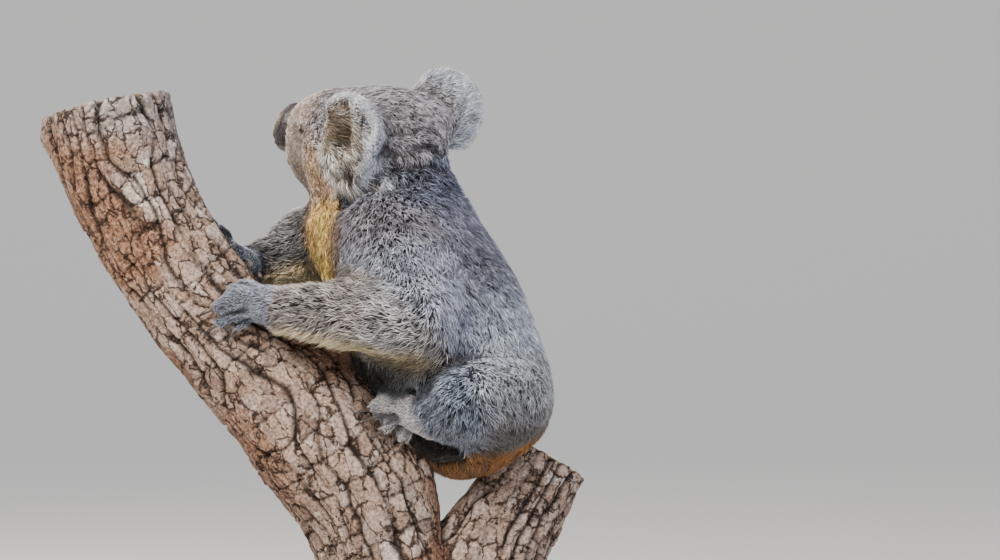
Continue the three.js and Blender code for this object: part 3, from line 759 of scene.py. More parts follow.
# loose skin: 1 in the bottom of a fold across the back of the neck or along the flank
def foldsAt(points, masks):
    width = skinValues["foldWidth"]
    slow = softNoise(points, 34 * mm, 61) * 9 + softNoise(points, 13 * mm, 62) * 4
    below = (points - neckTop) @ unit(neckBase - neckTop) / mm + slow
    broken = smoothStep(-0.5, 0.1, softNoise(points, 26 * mm, 63))
    fold = np.zeros(len(points))
    for at in skinValues["foldsAt"]:
        fold += np.exp(-((below - at) / width) ** 2) * broken
    upper = np.clip(masks["neck"] + masks["head"] + masks["torso"], 0, 1)
    onBack = smoothStep(-52, -22, (points - neckBase)[:, 0] / mm)
    return fold * upper * onBack * (1 - masks["ear"])


def makeSkin():
    v = skinValues
    piece = joinedCopy("skin", furNodes, v["seamGrowth"] * mm)
    mesh = modified(piece, "REMESH", mode="VOXEL", voxel_size=v["voxelSize"] * mm)
    edges = edgesOf(mesh)
    # keep the outer shell only
    tag = np.arange(len(mesh.vertices))
    while True:
        lower = tag.copy()
        np.minimum.at(lower, edges[:, 0], tag[edges[:, 1]])
        np.minimum.at(lower, edges[:, 1], tag[edges[:, 0]])
        lower = lower[lower]
        if np.array_equal(lower, tag):
            break
        tag = lower
    shells, counts = np.unique(tag, return_counts=True)
    keep = tag == shells[np.argmax(counts)]
    faces = trianglesOf(mesh)
    faces = faces[keep[faces[:, 0]]]
    renumber = np.cumsum(keep) - 1
    points = pointsOf(mesh)[keep]
    bpy.data.objects.remove(piece)
    piece = meshObject("skin", points, renumber[faces])
    mesh = piece.data
    edges = edgesOf(mesh)
    points = pointsOf(mesh)

    names, label = labelPoints(points)
    masks = {}
    for word in ("head", "ear_", "neck", "torso", "rump", "hand", "foot", "upper_arm", "forearm",
                 "thigh", "shin", "right"):
        wanted = [i for i, n in enumerate(names) if word in n]
        masks[word] = relax(np.isin(label, wanted).astype(float), edges, 12)[:, 0]
    masks["ear"], masks["upperArm"] = masks.pop("ear_"), masks.pop("upper_arm")
    paw = np.clip(masks["hand"] + masks["foot"], 0, 1)
    fine = np.clip(paw + masks["ear"], 0, 1)
    points = relax(points, edges, 3, 0.5 - 0.35 * paw)
    points = relax(points, edges, 26, 0.5 * (1 - fine) ** 2)
    outline = points.copy()
    setPoints(mesh, points)

    h = inHead(points)
    muzzle = smoothStep(62, 100, h[:, 0]) * masks["head"]
    depth = v["coatDepth"]
    away = (depth["body"] * (1 - masks["head"] - masks["ear"] - paw) + depth["head"] * masks["head"]
            + depth["ear"] * masks["ear"] + depth["paw"] * paw)
    away = away + (depth["muzzle"] - away) * muzzle
    away = relax(np.clip(away, depth["muzzle"], depth["body"]), edges, 10)
    normals = relax(normalsOf(mesh), edges, 6, 0.5 - 0.4 * paw)
    fold = foldsAt(points, masks)
    groove = digitGrooves(points) * paw
    sink = away[:, 0] + v["foldDepth"] * relax(fold, edges, 1)[:, 0] + v["grooveDepth"] * groove
    points = points - unit(normals) * sink[:, None] * mm
    points = relax(points, edges, 2, 0.5 - 0.4 * paw)
    # the hide ends behind the nose's bare leather
    far = (points - noseMid) @ np.stack(noseAxes).T / mm
    far = lengthOf(far / np.array(noseRadii))
    points = points - noseOut * (smoothStep(1.18, 0.98, far) * v["behindNose"] * mm)[:, None]
    # the lids wrap round the eyeballs, and the hide dips behind the openings
    for side in sidesOf:
        reach, opening = lidPlace(points, side)
        ahead = smoothStep(2.6, 1.9, opening) * (reach < 2.4 * eyeRadius)
        brow = lidValues["cover"] + lidValues["brow"] * smoothStep(1.0, 1.9, opening)
        wanted = eyeRadius + np.where(opening < 1, -lidValues["sunk"], brow) * mm
        wanted = np.where(opening < 1, wanted, np.maximum(wanted, np.minimum(reach, wanted + 3 * mm)))
        scaled = (reach + (wanted - reach) * ahead) / reach
        points = eyes[side] + (points - eyes[side]) * scaled[:, None]
    setPoints(mesh, points)
    masks["muzzle"] = muzzle
    masks["groove"] = groove
    masks["fold"] = relax(fold, edges, 1)[:, 0]
    return piece, points, edges, masks, names, label, away[:, 0], outline


skin, skinPoints, skinEdges, masks, labelNames, skinLabel, coatDepth, coatOutline = makeSkin()
skinNormals = unit(normalsOf(skin.data))
skinFaces = trianglesOf(skin.data)
print("skin ready", len(skinFaces), "triangles")


# coat: how the hair lies, how long it is and what colours it has, at every point of the skin
lieValues = {
    "lengths": {  # mm
        "back": 14, "neck": 13, "rump": 15, "upperArm": 14, "forearm": 11.5, "fringe": 19, "thigh": 15,
        "shin": 10, "paw": 3.6, "head": 8, "cheek": 10, "muzzle": 2.6, "lids": 1.5, "ear": 13,
        "earRim": 19, "earInside": 24, "chest": 20,
    },
    "strandRadius": {"body": 0.64, "head": 0.46, "muzzle": 0.36, "paw": 0.34, "ear": 0.46},  # mm
    "tuftsPerSquareMm": {"body": 0.39, "head": 0.74, "muzzle": 1.5, "paw": 1.3, "ear": 0.9},
    "swirlSize": 10,  # mm
    "swirl": 0.62,
    "stray": 0.4,  # radians, from hair to hair
}
# the dark root and the pale tip of the hair in each region; belly, innerArm and thighLow are painted shade
coatColours = {
    "back": ("#2d2c2e", "#9ea1b2"), "lowBack": ("#76879f", "#ecf5ff"), "nape": ("#1f222b", "#8b91a8"),
    "neck": ("#2f3038", "#9a9fb0"), "upperArm": ("#42424e", "#dde3f8"), "elbow": ("#3f475c", "#e2edff"),
    "forearm": ("#4e4743", "#c5bcb8"), "fringe": ("#a87c48", "#ffeebc"), "innerArm": ("#2b2a2c", "#a3a3a8"),
    "innerEdge": ("#e2b878", "#fff8d8"), "chest": ("#e8a850", "#ffe08c"), "breast": ("#44342a", "#a48b74"),
    "belly": ("#070504", "#1d1610"), "thigh": ("#485367", "#e6f0ff"), "thighBack": ("#4a4541", "#b3aca6"),
    "under": ("#4f310d", "#b8792c"), "shin": ("#353c49", "#9aa7bc"), "hand": ("#171b27", "#a3adc4"),
    "foot": ("#5e5b66", "#fffcff"), "head": ("#4c4749", "#d8d1d5"), "headTop": ("#534d4f", "#bcb8c1"),
    "cheek": ("#86634b", "#ffd9b0"), "chin": ("#c67c3c", "#ffcc7c"), "muzzle": ("#7d6c63", "#dccabf"),
    "earBack": ("#1f2736", "#7f95bd"), "earRim": ("#c8d2e2", "#ffffff"), "earHollow": ("#1d160c", "#6f5e41"),
    "shoulder": ("#363132", "#a6a1aa"), "thighLow": ("#262322", "#6e6a68"), "earHair": ("#5a4830", "#fffaf0"),
    "earTuft": ("#e0d6cc", "#ffffff"),
}


def dotted(vectors, direction):
    return vectors @ unit(direction)


# a value for each side's limb, taken from the side that a point is on
def onOwnSide(valueOf):
    left, other = valueOf("left"), valueOf("right")
    share = masks["right"] if left.shape == masks["right"].shape else masks["right"][:, None]
    return left * (1 - share) + other * share


# the animal's own directions in the trunk of its body
spineWay = unit(waist - neckBase)
bodyLeft = unit(np.array([0, -1.0, 0]) - spineWay * np.dot(np.array([0, -1.0, 0]), spineWay))
bellyWay = unit(np.cross(bodyLeft, spineWay))
if bellyWay[0] > 0:
    bellyWay = -bellyWay
earFacing = {side: unit(sidesOf[side] * headLeft + 0.3 * headForward - 0.12 * headUp) for side in sidesOf}
headAhead, headAcross, headAbove = inHead(skinPoints).T
skinHeight, skinUp = skinPoints[:, 2], skinNormals[:, 2]

# how far the skin faces out of an ear's hollow, and where it is from the ear's root and middle
earWay = onOwnSide(lambda s: earFacing[s])
earFace = onOwnSide(lambda s: dotted(skinNormals, earFacing[s]))
earEdge = onOwnSide(lambda s: lengthOf(skinPoints - earRoots[s])) / mm
earLow = onOwnSide(lambda s: (skinPoints - earMids[s]) @ headUp) / mm
earFront = onOwnSide(lambda s: (skinPoints - earMids[s]) @ headForward) / mm
earGap = onOwnSide(lambda s: lengthOf(skinPoints - earMids[s])) / mm
earFront = smoothStep(2, 14, earFront) * smoothStep(8, -4, earLow) * smoothStep(-34, -22, earLow)
earOpen = masks["ear"] * smoothStep(0.1, 0.55, earFace)
earBorder = masks["ear"] * smoothStep(-0.5, 0.0, earFace) * (1 - smoothStep(0.3, 0.6, earFace))
# the hair in the ear's hollow stands on the ear as a whole, not on the hollow's walls
coatNormals = unit(skinNormals + (earWay - skinNormals) * earOpen[:, None])
underside = smoothStep(0.15, 0.75, -skinUp)
lidEdge = np.min([np.where(reach < 2.2 * eyeRadius, opening, 9.0)
                  for reach, opening in [lidPlace(skinPoints, side) for side in sidesOf]], axis=0)
bellySide = dotted(skinNormals, bellyWay)
alongSpine = (skinPoints - neckBase) @ spineWay / np.linalg.norm(waist - neckBase)
elbowGap = onOwnSide(lambda s: lengthOf(skinPoints - joints[s]["elbow"])) / mm


def lieOfCoat():
    down = np.array([0, 0, -1.0])
    p = skinPoints
    m = {name: value[:, None] for name, value in masks.items()}

    def fromTo(start, end):
        return unit(onOwnSide(lambda s: joints[s][end] - joints[s][start]))

    out = onOwnSide(lambda s: sidesOf[s] * headLeft)
    over = smoothStep(-0.3, 0.5, skinUp)[:, None]
    aside = over * onOwnSide(lambda s: sidesOf[s] * bodyLeft)
    cheek = (smoothStep(8, 30, -headAbove) * smoothStep(10, 60, np.abs(headAcross)))[:, None]
    spread = unit(onOwnSide(lambda s: p - earRoots[s]))
    outward = unit(onOwnSide(lambda s: p - earMids[s]))
    # in the ear's hollow the hair falls low down, sweeps back higher up and fans out at the rim
    inUpper = smoothStep(-8, 18, earLow)[:, None]
    fanned = 0.9 * (1 - inUpper) + 1.6 * smoothStep(33, 42, earGap)[:, None]
    stream = unit(-headUp * (1 - 0.65 * inUpper) - (0.1 + 0.9 * inUpper) * headForward + fanned * outward)
    ways = {
        "torso": spineWay + 0.35 * down,
        "neck": unit(neckBase - neckTop),
        "rump": unit(0.4 * spineWay + down + 0.9 * aside),
        "upperArm": unit(0.5 * spineWay + down),
        "forearm": fromTo("elbow", "wrist") + 0.7 * underside[:, None] * down,
        "hand": fromTo("wrist", "fingers"),
        "thigh": unit(down - 0.45 * bellyWay + 1.6 * aside),
        "shin": unit(onOwnSide(lambda s: joints[s]["ankle"] - joints[s]["knee"]) + 0.3 * down),
        "foot": fromTo("ankle", "toes"),
        "head": unit(-headForward - 0.2 * headUp + cheek * (0.5 * out - 0.8 * headUp)),
        "ear": spread + (stream - spread) * earOpen[:, None],
    }
    lie = relax(sum(m[name] * way for name, way in ways.items()), skinEdges, 20)
    for side in sidesOf:
        reach, opening = lidPlace(p, side)
        ring = (smoothStep(2.4, 1.4, opening) * (reach < 2.2 * eyeRadius))[:, None]
        lie = lie * (1 - ring) + ring * unit(p - eyes[side] - 0.5 * reach[:, None] * eyeAxes(side)[0])
    lie -= coatNormals * np.sum(lie * coatNormals, axis=1, keepdims=True)
    return unit(relax(unit(lie), skinEdges, 6))


# the base value with the others laid over it in turn, each by its own share
def layered(base, layers):
    layer = np.broadcast_to(np.asarray(base, float), (len(skinPoints),) + np.shape(base))
    for share, value in layers:
        share = share.reshape((-1,) + (1,) * np.ndim(base))
        layer = layer + (np.asarray(value, float) - layer) * share
    return layer


# how hollow the hide is beside its own shape after some rounds of spreading, in millimetres
def hollowness(rounds):
    return np.sum((relax(skinPoints, skinEdges, rounds) - skinPoints) * skinNormals, axis=1) / mm


offMidline = np.abs((skinPoints - neckBase) @ bodyLeft) / mm
forward = (skinPoints - neckBase) @ bellyWay / mm
arms = masks["forearm"] + masks["upperArm"]
trunk = masks["torso"] + masks["rump"]
haunch = np.clip(masks["thigh"] + masks["rump"], 0, 1)
pawShare = np.clip(masks["hand"] + masks["foot"], 0, 1)
breastShare = (np.clip(masks["torso"] + masks["neck"] + 0.9 * masks["upperArm"], 0, 1)
               * smoothStep(0.35, 0.8, bellySide) * smoothStep(0.8, 0.5, alongSpine))
chestShare = breastShare * smoothStep(46, 24, offMidline)
breastShare = breastShare * smoothStep(78, 50, offMidline)
# painted shadow: the belly between the forearm and the thigh gets an almost black coat for the shade it lies
# in
bellyShadeShare = trunk * smoothStep(12, 46, forward) * smoothStep(-0.3, 0.2, bellySide)
bellyShadeShare = bellyShadeShare * smoothStep(0.3, 0.6, alongSpine)
napeShare = masks["neck"] * smoothStep(0.1, 0.7, -bellySide)
cheekShare = masks["head"] * smoothStep(0, 26, -headAbove) * smoothStep(5, 45, headAhead)
headFacesUp = dotted(skinNormals, headUp)
chinShare = masks["head"] * smoothStep(0.3, 0.8, -headFacesUp) * smoothStep(20, 60, headAhead)
topShare = masks["head"] * smoothStep(0.35, 0.8, headFacesUp) * smoothStep(-10, 30, headAhead)
underShare = masks["rump"] * smoothStep(0.25, 0.75, -skinUp)
# the arms' inner faces; the innerArm colour laid on them is painted shade, the pale innerEdge below is the
# hair's own colour
innerArm = smoothStep(0.0, 0.5, arms * onOwnSide(lambda s: sidesOf[s] * (skinNormals @ -bodyLeft)))
lidShare = masks["head"] * smoothStep(2.4, 1.4, lidEdge)
hang = masks["forearm"] * smoothStep(0.2, 0.85, -skinUp) * smoothStep(38, 66, elbowGap)

# between two limbs or in a fold the coat is darkened for the shade it lies in, painted shade, and on a crest
# it is paler, a painted highlight
hollow, valley = hollowness(40), hollowness(7)
crest = relax(smoothStep(0.3, 2.2, -hollow), skinEdges, 3)[:, 0]
hollow = relax(smoothStep(0.15, 1.7, hollow), skinEdges, 3)[:, 0]
# the deep shade under the elbows, where arm, belly and thigh come together
tucked = (trunk + arms) * smoothStep(0.405, 0.382, skinHeight) * smoothStep(0.07, 0.01, skinPoints[:, 0])
hollow = np.maximum(hollow, 1.2 * np.clip(tucked, 0, 1))
# on the paws: painted shade in the grooves between the digits and in valleys, and a painted highlight on the
# digits' backs
dark = np.maximum(masks["groove"], 0.6 * smoothStep(0.0, 0.5, valley))
hollow = hollow * (1 - pawShare) + pawShare * dark * 1.3
crest = crest * (1 - pawShare) + pawShare * smoothStep(0.0, 0.4, -valley)


def coatMeasures():
    m = masks
    lengths = [
        (m["neck"], "neck"), (m["rump"], "rump"), (m["upperArm"], "upperArm"), (m["forearm"], "forearm"),
        (m["forearm"] * underside, "fringe"), (m["thigh"], "thigh"), (m["shin"], "shin"),
        (chestShare, "chest"), (m["head"], "head"), (cheekShare, "cheek"), (m["muzzle"], "muzzle"),
        (lidShare, "lids"), (pawShare, "paw"), (m["ear"], "ear"), (earBorder, "earRim"),
        (earOpen, "earInside")]
    kinds = [(m["head"], "head"), (np.maximum(m["muzzle"], lidShare), "muzzle"), (pawShare, "paw"),
             (m["ear"], "ear")]

    def measure(name, base, layers):
        values = lieValues[name]
        return layered(values[base], [(share, values[key]) for share, key in layers])

    crowd = measure("tuftsPerSquareMm", "body", kinds) * smoothStep(1.14, 1.32, lidEdge)
    return measure("lengths", "back", lengths), measure("strandRadius", "body", kinds), crowd


def coatShades():
    m = masks
    order = [
        (m["neck"], "neck"), (napeShare, "nape"), (smoothStep(0.35, 1.0, alongSpine) * trunk, "lowBack"),
        (m["upperArm"], "upperArm"), (m["upperArm"] * smoothStep(0.478, 0.515, skinHeight), "shoulder"),
        (m["thigh"], "thigh"), (haunch * smoothStep(0.3, 0.8, -bellySide) * 0.6, "thighBack"),
        # painted shade: thighLow darkens the haunch towards its bottom, and the belly layer is painted shadow
        (haunch * smoothStep(0.356, 0.316, skinHeight), "thighLow"), (bellyShadeShare, "belly"),
        (m["shin"], "shin"), (m["forearm"], "forearm"), (smoothStep(52, 24, elbowGap) * arms * 0.8, "elbow"),
        # painted shade on the arms' inner faces
        (innerArm, "innerArm"), (m["forearm"] * smoothStep(0.62, 0.95, -skinUp), "fringe"),
        (underShare, "under"), (innerArm * smoothStep(0.15, 0.6, -skinUp), "innerEdge"),
        (breastShare, "breast"), (chestShare, "chest"), (m["hand"], "hand"), (m["foot"], "foot"),
        (m["head"], "head"), (topShare, "headTop"), (cheekShare, "cheek"), (chinShare, "chin"),
        (m["muzzle"], "muzzle"), (m["ear"], "earBack"),
        (m["ear"] * smoothStep(26, 44, earEdge) * 0.85, "earRim"), (earOpen, "earHair"),
        (earOpen * smoothStep(-4, 14, earLow) * smoothStep(38, 26, earLow) * smoothStep(42, 26, earGap),
         "earHollow"),
        (earBorder, "earRim"), (m["ear"] * smoothStep(0.1, 0.6, earFace) * earFront, "earTuft"),
    ]
    return [relax(layered(rgb(coatColours["back"][end]),
                          [(np.clip(share, 0, 1), rgb(coatColours[name][end])) for share, name in order]),
                  skinEdges, 2) for end in (0, 1)]


coatLie = lieOfCoat()
hairLength, hairRadius, hairCrowd = coatMeasures()
rootShade, tipShade = coatShades()
print("lie and colours of the coat ready")


# coat: tufts, each a thin closed spike of hair, bent along the lie and drawn into clumps
tuftValues = {
    "seed": 5,
    "share": 0.94,  # of the tufts in lieValues
    "clumpSize": 6,  # mm
    "lockColours": ["#9c6b42", "#2c231c"],  # locks of other colours in the ears' long hair
    "lockShares": [(0.0, 0.24), (0.24, 0.42)],
    "clumpPull": 0.5,
    "unevenLength": 0.34,
    "rise": 0.34,  # steeper at the root and flatter at the tip by this, radians
    "past": {"body": 2.5, "ear": 5.5, "fringe": 8},  # mm that tips may pass the outline of the coat
    "hang": 0.5,  # steeper under the forearm by this, radians
    "buried": 0.8,  # mm of each root under the skin
    "middleWidth": 0.78,
    "bendFrom": 5,  # mm of length
    "clumpLength": 0.28,  # how much longer the longest clumps are than the shortest
    "slopeLimits": [0.08, 0.85],  # least and most of a hair's rise over its length
    "mostPull": 0.45,  # of a hair's length, towards its clump's middle
    "pawCalm": 0.85,  # how much less the hairs of a paw clump and vary
    "thickness": [0.8, 1.2],  # least and most, of the region's own
    "brightness": [0.56, 1.86],  # the dullest hair and the brightest
    "paleHairs": 2.2,  # higher for fewer pale hairs
    "clumpTone": 0.44,  # from the darkest clump to the palest
    "clumpGapShade": 0.45,  # painted shade: how much darker the gaps between clumps are
    # painted highlight on crests, painted shade in hollows and in the bottom of folds
    "crestLight": 0.3, "hollowShade": 0.72, "foldShade": 0.75,
    "broadPatches": 0.16, "broadSize": 30, "smallPatches": 0.34, "smallSize": 8,  # sizes in mm
    "rootDark": 0.42, "middleRoot": 0.6, "tipLight": 1.2,
    "lockStrength": 0.85,
    "mostPerPiece": 18500,
    "bakePatch": 0.003,  # a tuft's width on the unwrap
}


def furMaterial(name, attributeName):
    # dense underfur with pale guard hairs: matt, with the soft edge that short wool gives
    material, tree = newMaterial(name)
    surfaceOf(tree, attributeOf(tree, attributeName, "Color"), 0.62, specular=0.3, sheen=0.12,
              sheenRoughness=0.5)
    return material


# the share of each hair that stays within the allowed distance outside the coat's outline
def keptInside(root, tip, allowed):
    tree = BVHTree.FromPolygons([Vector(p) for p in coatOutline], skinFaces.tolist())
    shares = np.ones(len(root))
    for n in range(len(root)):
        near, normal, _, _ = tree.find_nearest(Vector(tip[n]))
        out = (Vector(tip[n]) - near).dot(normal)
        if out > allowed[n]:
            near, normal, _, _ = tree.find_nearest(Vector(root[n]))
            start = (Vector(root[n]) - near).dot(normal)
            shares[n] = np.clip((allowed[n] - start) / max(out - start, 1e-9), 0.3, 1)
    return shares


def makeTufts():
    v = tuftValues
    rng = np.random.default_rng(v["seed"])
    corners = skinPoints[skinFaces]
    area = lengthOf(np.cross(corners[:, 1] - corners[:, 0], corners[:, 2] - corners[:, 0])) / 2
    weight = np.cumsum(area / mm ** 2 * hairCrowd[skinFaces].mean(1)) * v["share"]
    count = int(weight[-1])
    pick = np.searchsorted(weight, (np.arange(count) + rng.random(count)) / count * weight[-1])
    pick = np.minimum(pick, len(skinFaces) - 1)
    a, b = rng.random((2, count))
    a, b = np.where(a + b > 1, 1 - a, a), np.where(a + b > 1, 1 - b, b)
    share = np.stack([1 - a - b, a, b], 1)
    trio = skinFaces[pick]

    def across(values):
        values = values.reshape(len(values), -1)
        return np.einsum("nk,nkc->nc", share, values[trio])

    root = across(skinPoints)
    opening = across(earOpen)
    normal = unit(across(coatNormals))
    swirl = (lieValues["swirl"] * softNoise(root, lieValues["swirlSize"] * mm, 3)
             + lieValues["stray"] * rng.standard_normal(count))[:, None]
    lie = across(coatLie)
    lie = unit(lie - normal * np.sum(lie * normal, 1, keepdims=True))
    side = np.cross(normal, lie)
    lie = lie * np.cos(swirl) + side * np.sin(swirl)
    side = np.cross(normal, lie)
    nearest, clump, spot = clumpNoise(root / (v["clumpSize"] * mm), 9)
    spot = spot * v["clumpSize"] * mm
    length = across(hairLength)[:, 0] * (1 + v["unevenLength"] * (rng.random(count) * 2 - 1))
    length = length * (1 + v["clumpLength"] * (clump - 0.5))
    depth = across(coatDepth)[:, 0]
    deep = depth * (0.8 + 0.5 * clump + 0.25 * (rng.random(count) - 0.5))
    slope = np.arcsin(np.clip(deep / length, *v["slopeLimits"]))[:, None] + v["hang"] * across(hang)
    first = lie * np.cos(slope + v["rise"]) + normal * np.sin(slope + v["rise"])
    last = lie * np.cos(slope - v["rise"] * 0.8) + normal * np.sin(slope - v["rise"] * 0.8)
    reach = (length * mm)[:, None]
    pull = spot - root
    calm = 1 - v["pawCalm"] * across(pawShare)
    pull = (pull - normal * np.sum(pull * normal, 1, keepdims=True)) * v["clumpPull"] * calm
    pulled = np.maximum(np.linalg.norm(pull, axis=1, keepdims=True), 1e-9)
    pull *= np.minimum(1, v["mostPull"] * reach / pulled)
    tip = root + 0.5 * reach * (first + last) + pull
    inEar, past = across(masks["ear"]), v["past"]
    allowed = past["body"] + (past["ear"] - past["body"]) * inEar + past["fringe"] * across(hang)
    shorter = keptInside(root, tip, allowed[:, 0] * (0.4 + 0.6 * rng.random(count)) * mm)[:, None]
    middle = root + (0.5 * reach * first + 0.35 * pull) * shorter
    tip = root + (tip - root) * shorter
    thin, stout = v["thickness"]
    thick = across(hairRadius) * mm * (thin + (stout - thin) * rng.random((count, 1)))
    above = np.cross(side, first)
    turn = rng.random(count) * circle
    points = np.empty((count, 7, 3))
    for n in range(3):
        angle = (turn + n * circle / 3)[:, None]
        ring = (side * np.cos(angle) + above * np.sin(angle)) * thick
        points[:, n] = root - normal * v["buried"] * mm + ring
        points[:, 3 + n] = middle + ring * v["middleWidth"]
    points[:, 6] = tip

    rootTone, tipTone = across(rootShade), across(tipShade)
    for (least, most), colour in zip(v["lockShares"], v["lockColours"]):
        lock = v["lockStrength"] * opening * ((clump >= least) & (clump < most))[:, None]
        rootTone = rootTone + (0.5 * rgb(colour) - rootTone) * lock
        tipTone = tipTone + (rgb(colour) - tipTone) * lock
    dull, palest = v["brightness"]
    bright = (dull + (palest - dull) * rng.random(count) ** v["paleHairs"])[:, None]
    bright = bright * (1 + v["clumpTone"] * (clump[:, None] - 0.5) * (calm + 1.6 * opening))
    # painted shade in the gaps between clumps
    bright = bright * (1 - v["clumpGapShade"] * smoothStep(0.35, 0.75, nearest)[:, None] * calm)
    # painted highlight on crests and painted shade in hollows, outside the ears; then painted shade in the
    # bottom of the folds
    shade = 1 + (v["crestLight"] * across(crest) - v["hollowShade"] * across(hollow)) * (1 - inEar)
    shade = shade * (1 - v["foldShade"] * np.clip(1.3 * across(masks["fold"]), 0, 1))
    patches = 1 + v["broadPatches"] * softNoise(root, v["broadSize"] * mm, 21)[:, None]
    patches += v["smallPatches"] * softNoise(root, v["smallSize"] * mm, 22)[:, None] * calm
    patches *= shade
    tone = np.empty((count, 7, 3))
    tone[:, 0:3] = (rootTone * v["rootDark"] * shade)[:, None]
    middleTone = rootTone * v["middleRoot"] + tipTone * (1 - v["middleRoot"])
    tone[:, 3:6] = (middleTone * bright * patches)[:, None]
    tone[:, 6] = tipTone * bright * v["tipLight"] * patches
    label = skinLabel[trio[:, 0]]
    isShort = reach[:, 0] < v["bendFrom"] * mm
    return root, points, np.clip(tone, 0, 1), label, isShort


# a tuft's corners are three at its root, three at its bend and its tip; a short one has no bend
bentTuft = np.array([(0, 2, 1), (0, 1, 4), (0, 4, 3), (1, 2, 5), (1, 5, 4), (2, 0, 3), (2, 3, 5),
                     (3, 4, 6), (4, 5, 6), (5, 3, 6)])
shortTuft = np.array([(0, 2, 1), (0, 1, 3), (1, 2, 3), (2, 0, 3)])
# where each corner lies on the tuft's own patch of the unwrap
tuftPatch = np.array([(-1, -1), (0, -1), (1, -1), (-1, 0), (0, 0), (1, 0), (0, 1)])


# places on an unwrap of a region of the skin: round its axis and along it
def unwrapped(root, axis, middle):
    axis = unit(axis)
    across = unit(np.cross(axis, [0.31, 0.9, 0.2]))
    other = np.cross(axis, across)
    v = root - middle
    turn = np.arctan2(v @ other, v @ across) / circle + 0.5
    bend = np.arctan2(v @ axis, np.hypot(v @ other, v @ across)) / np.pi + 0.5
    span = bend.max() - bend.min()
    return np.stack([0.01 + 0.98 * turn, 0.01 + 0.98 * (bend - bend.min()) / max(span, 1e-6)], 1)


def makeCoat():
    v = tuftValues
    root, points, tone, label, isShort = makeTufts()
    material = furMaterial("koalaFurGrown", "coatTint")
    groups = {
        "Head": ["head"], "Neck": ["neck"], "Torso": ["torso"], "Rump": ["rump"],
        "EarLeft": ["ear_left"], "EarRight": ["ear_right"],
        "ArmLeft": ["upper_arm_left", "forearm_left"], "ArmRight": ["upper_arm_right", "forearm_right"],
        "LegLeft": ["thigh_left", "shin_left"], "LegRight": ["thigh_right", "shin_right"],
        "HandLeft": ["hand_left"], "HandRight": ["hand_right"],
        "FootLeft": ["foot_left"], "FootRight": ["foot_right"],
    }
    total = 0
    for group, members in groups.items():
        ours = np.isin(label, [labelNames.index(n) for n in members])
        axis = np.linalg.svd((root[ours] - root[ours].mean(0))[::10])[2][0]
        for kind, some in (("", ours & ~isShort), ("Short", ours & isShort)):
            chosen = np.flatnonzero(some)
            if len(chosen) == 0:
                continue
            corners = [0, 1, 2, 6] if kind else list(range(7))
            shape = shortTuft if kind else bentTuft
            chosen = chosen[np.argsort(root[chosen] @ axis)]
            parts = -(-len(chosen) // v["mostPerPiece"])
            for n, part in enumerate(np.array_split(chosen, parts)):
                faces = (shape[None] + len(corners) * np.arange(len(part))[:, None, None]).reshape(-1, 3)
                shown = points[part][:, corners].reshape(-1, 3)
                piece = meshObject(f"coat{group}{kind}{n + 1}", shown, faces, material)
                shownTone = tone[part][:, corners].reshape(-1, 3)
                setAttribute(piece.data, "coatTint", shownTone, "FLOAT_COLOR")
                place = unwrapped(root[part], axis, root[part].mean(0))
                patch = (place[:, None] + tuftPatch * v["bakePatch"] / 2)[:, corners].reshape(-1, 2)
                layer = piece.data.uv_layers.new(name="OFBake")
                layer.data.foreach_set("uv", patch[faces.reshape(-1)].astype(np.float32).ravel())
                finishPiece(piece, "ear_fur" if "Ear" in group else "fur")
                total += len(faces)
    return total


print("coat ready", makeCoat(), "triangles")


# the hide under the coat
skin.data.materials.append(furMaterial("hideUnderFur", "skinTint"))
setAttribute(skin.data, "skinTint", np.clip(rootShade * 0.55, 0, 1), "FLOAT_COLOR")
finishPiece(skin, "fur", *furNodes)


# a closed round form: rings from the front pole to the back one, each point moved by shape(directions)
def roundForm(name, middle, axes, rings, shape, material):
    sides = rings
    angle = np.linspace(0, np.pi, rings + 1)[1:-1]
    turn = np.linspace(0, circle, sides, endpoint=False)
    a, t = np.meshgrid(angle, turn, indexing="ij")
    ring = np.stack([np.cos(a), np.sin(a) * np.cos(t), np.sin(a) * np.sin(t)], -1).reshape(-1, 3)
    ways = np.concatenate([[[1, 0, 0]], ring, [[-1, 0, 0]]]).astype(float)
    last = len(ways) - 1
    n = np.arange(sides)
    after = (n + 1) % sides
    faces = [np.stack([0 * n, 1 + n, 1 + after], 1)]
    for r in range(rings - 2):
        one, two = 1 + r * sides, 1 + (r + 1) * sides
        faces.append(np.stack([one + n, two + n, two + after], 1))
        faces.append(np.stack([one + n, two + after, one + after], 1))
    one = 1 + (rings - 2) * sides
    faces.append(np.stack([one + n, 0 * n + last, one + after], 1))
    points = middle + shape(ways) @ np.array(axes)
    return meshObject(name, points, np.concatenate(faces), material), ways


# face: eyes, lids, nose and mouth
eyeValues = {
    "rings": 72,
    "irisAngle": 50, "pupilAngle": 27, "pupilNarrow": 0.4,  # degrees from the gaze, and the slit's share
    "lensRise": 0.07,
    "irisColours": ["#1f1209", "#452914", "#100905"],  # by the pupil, in the middle and at the rim
    "whiteColour": "#4a3a30", "pupilColour": "#050505",
    "lidThick": 0.85,  # mm
    "lidLift": 0.45,  # mm, from the eyeball
    "lidSides": (64, 10),  # along the rim and round it
    "lidColours": ["#1f1a19", "#2b2422"],
}


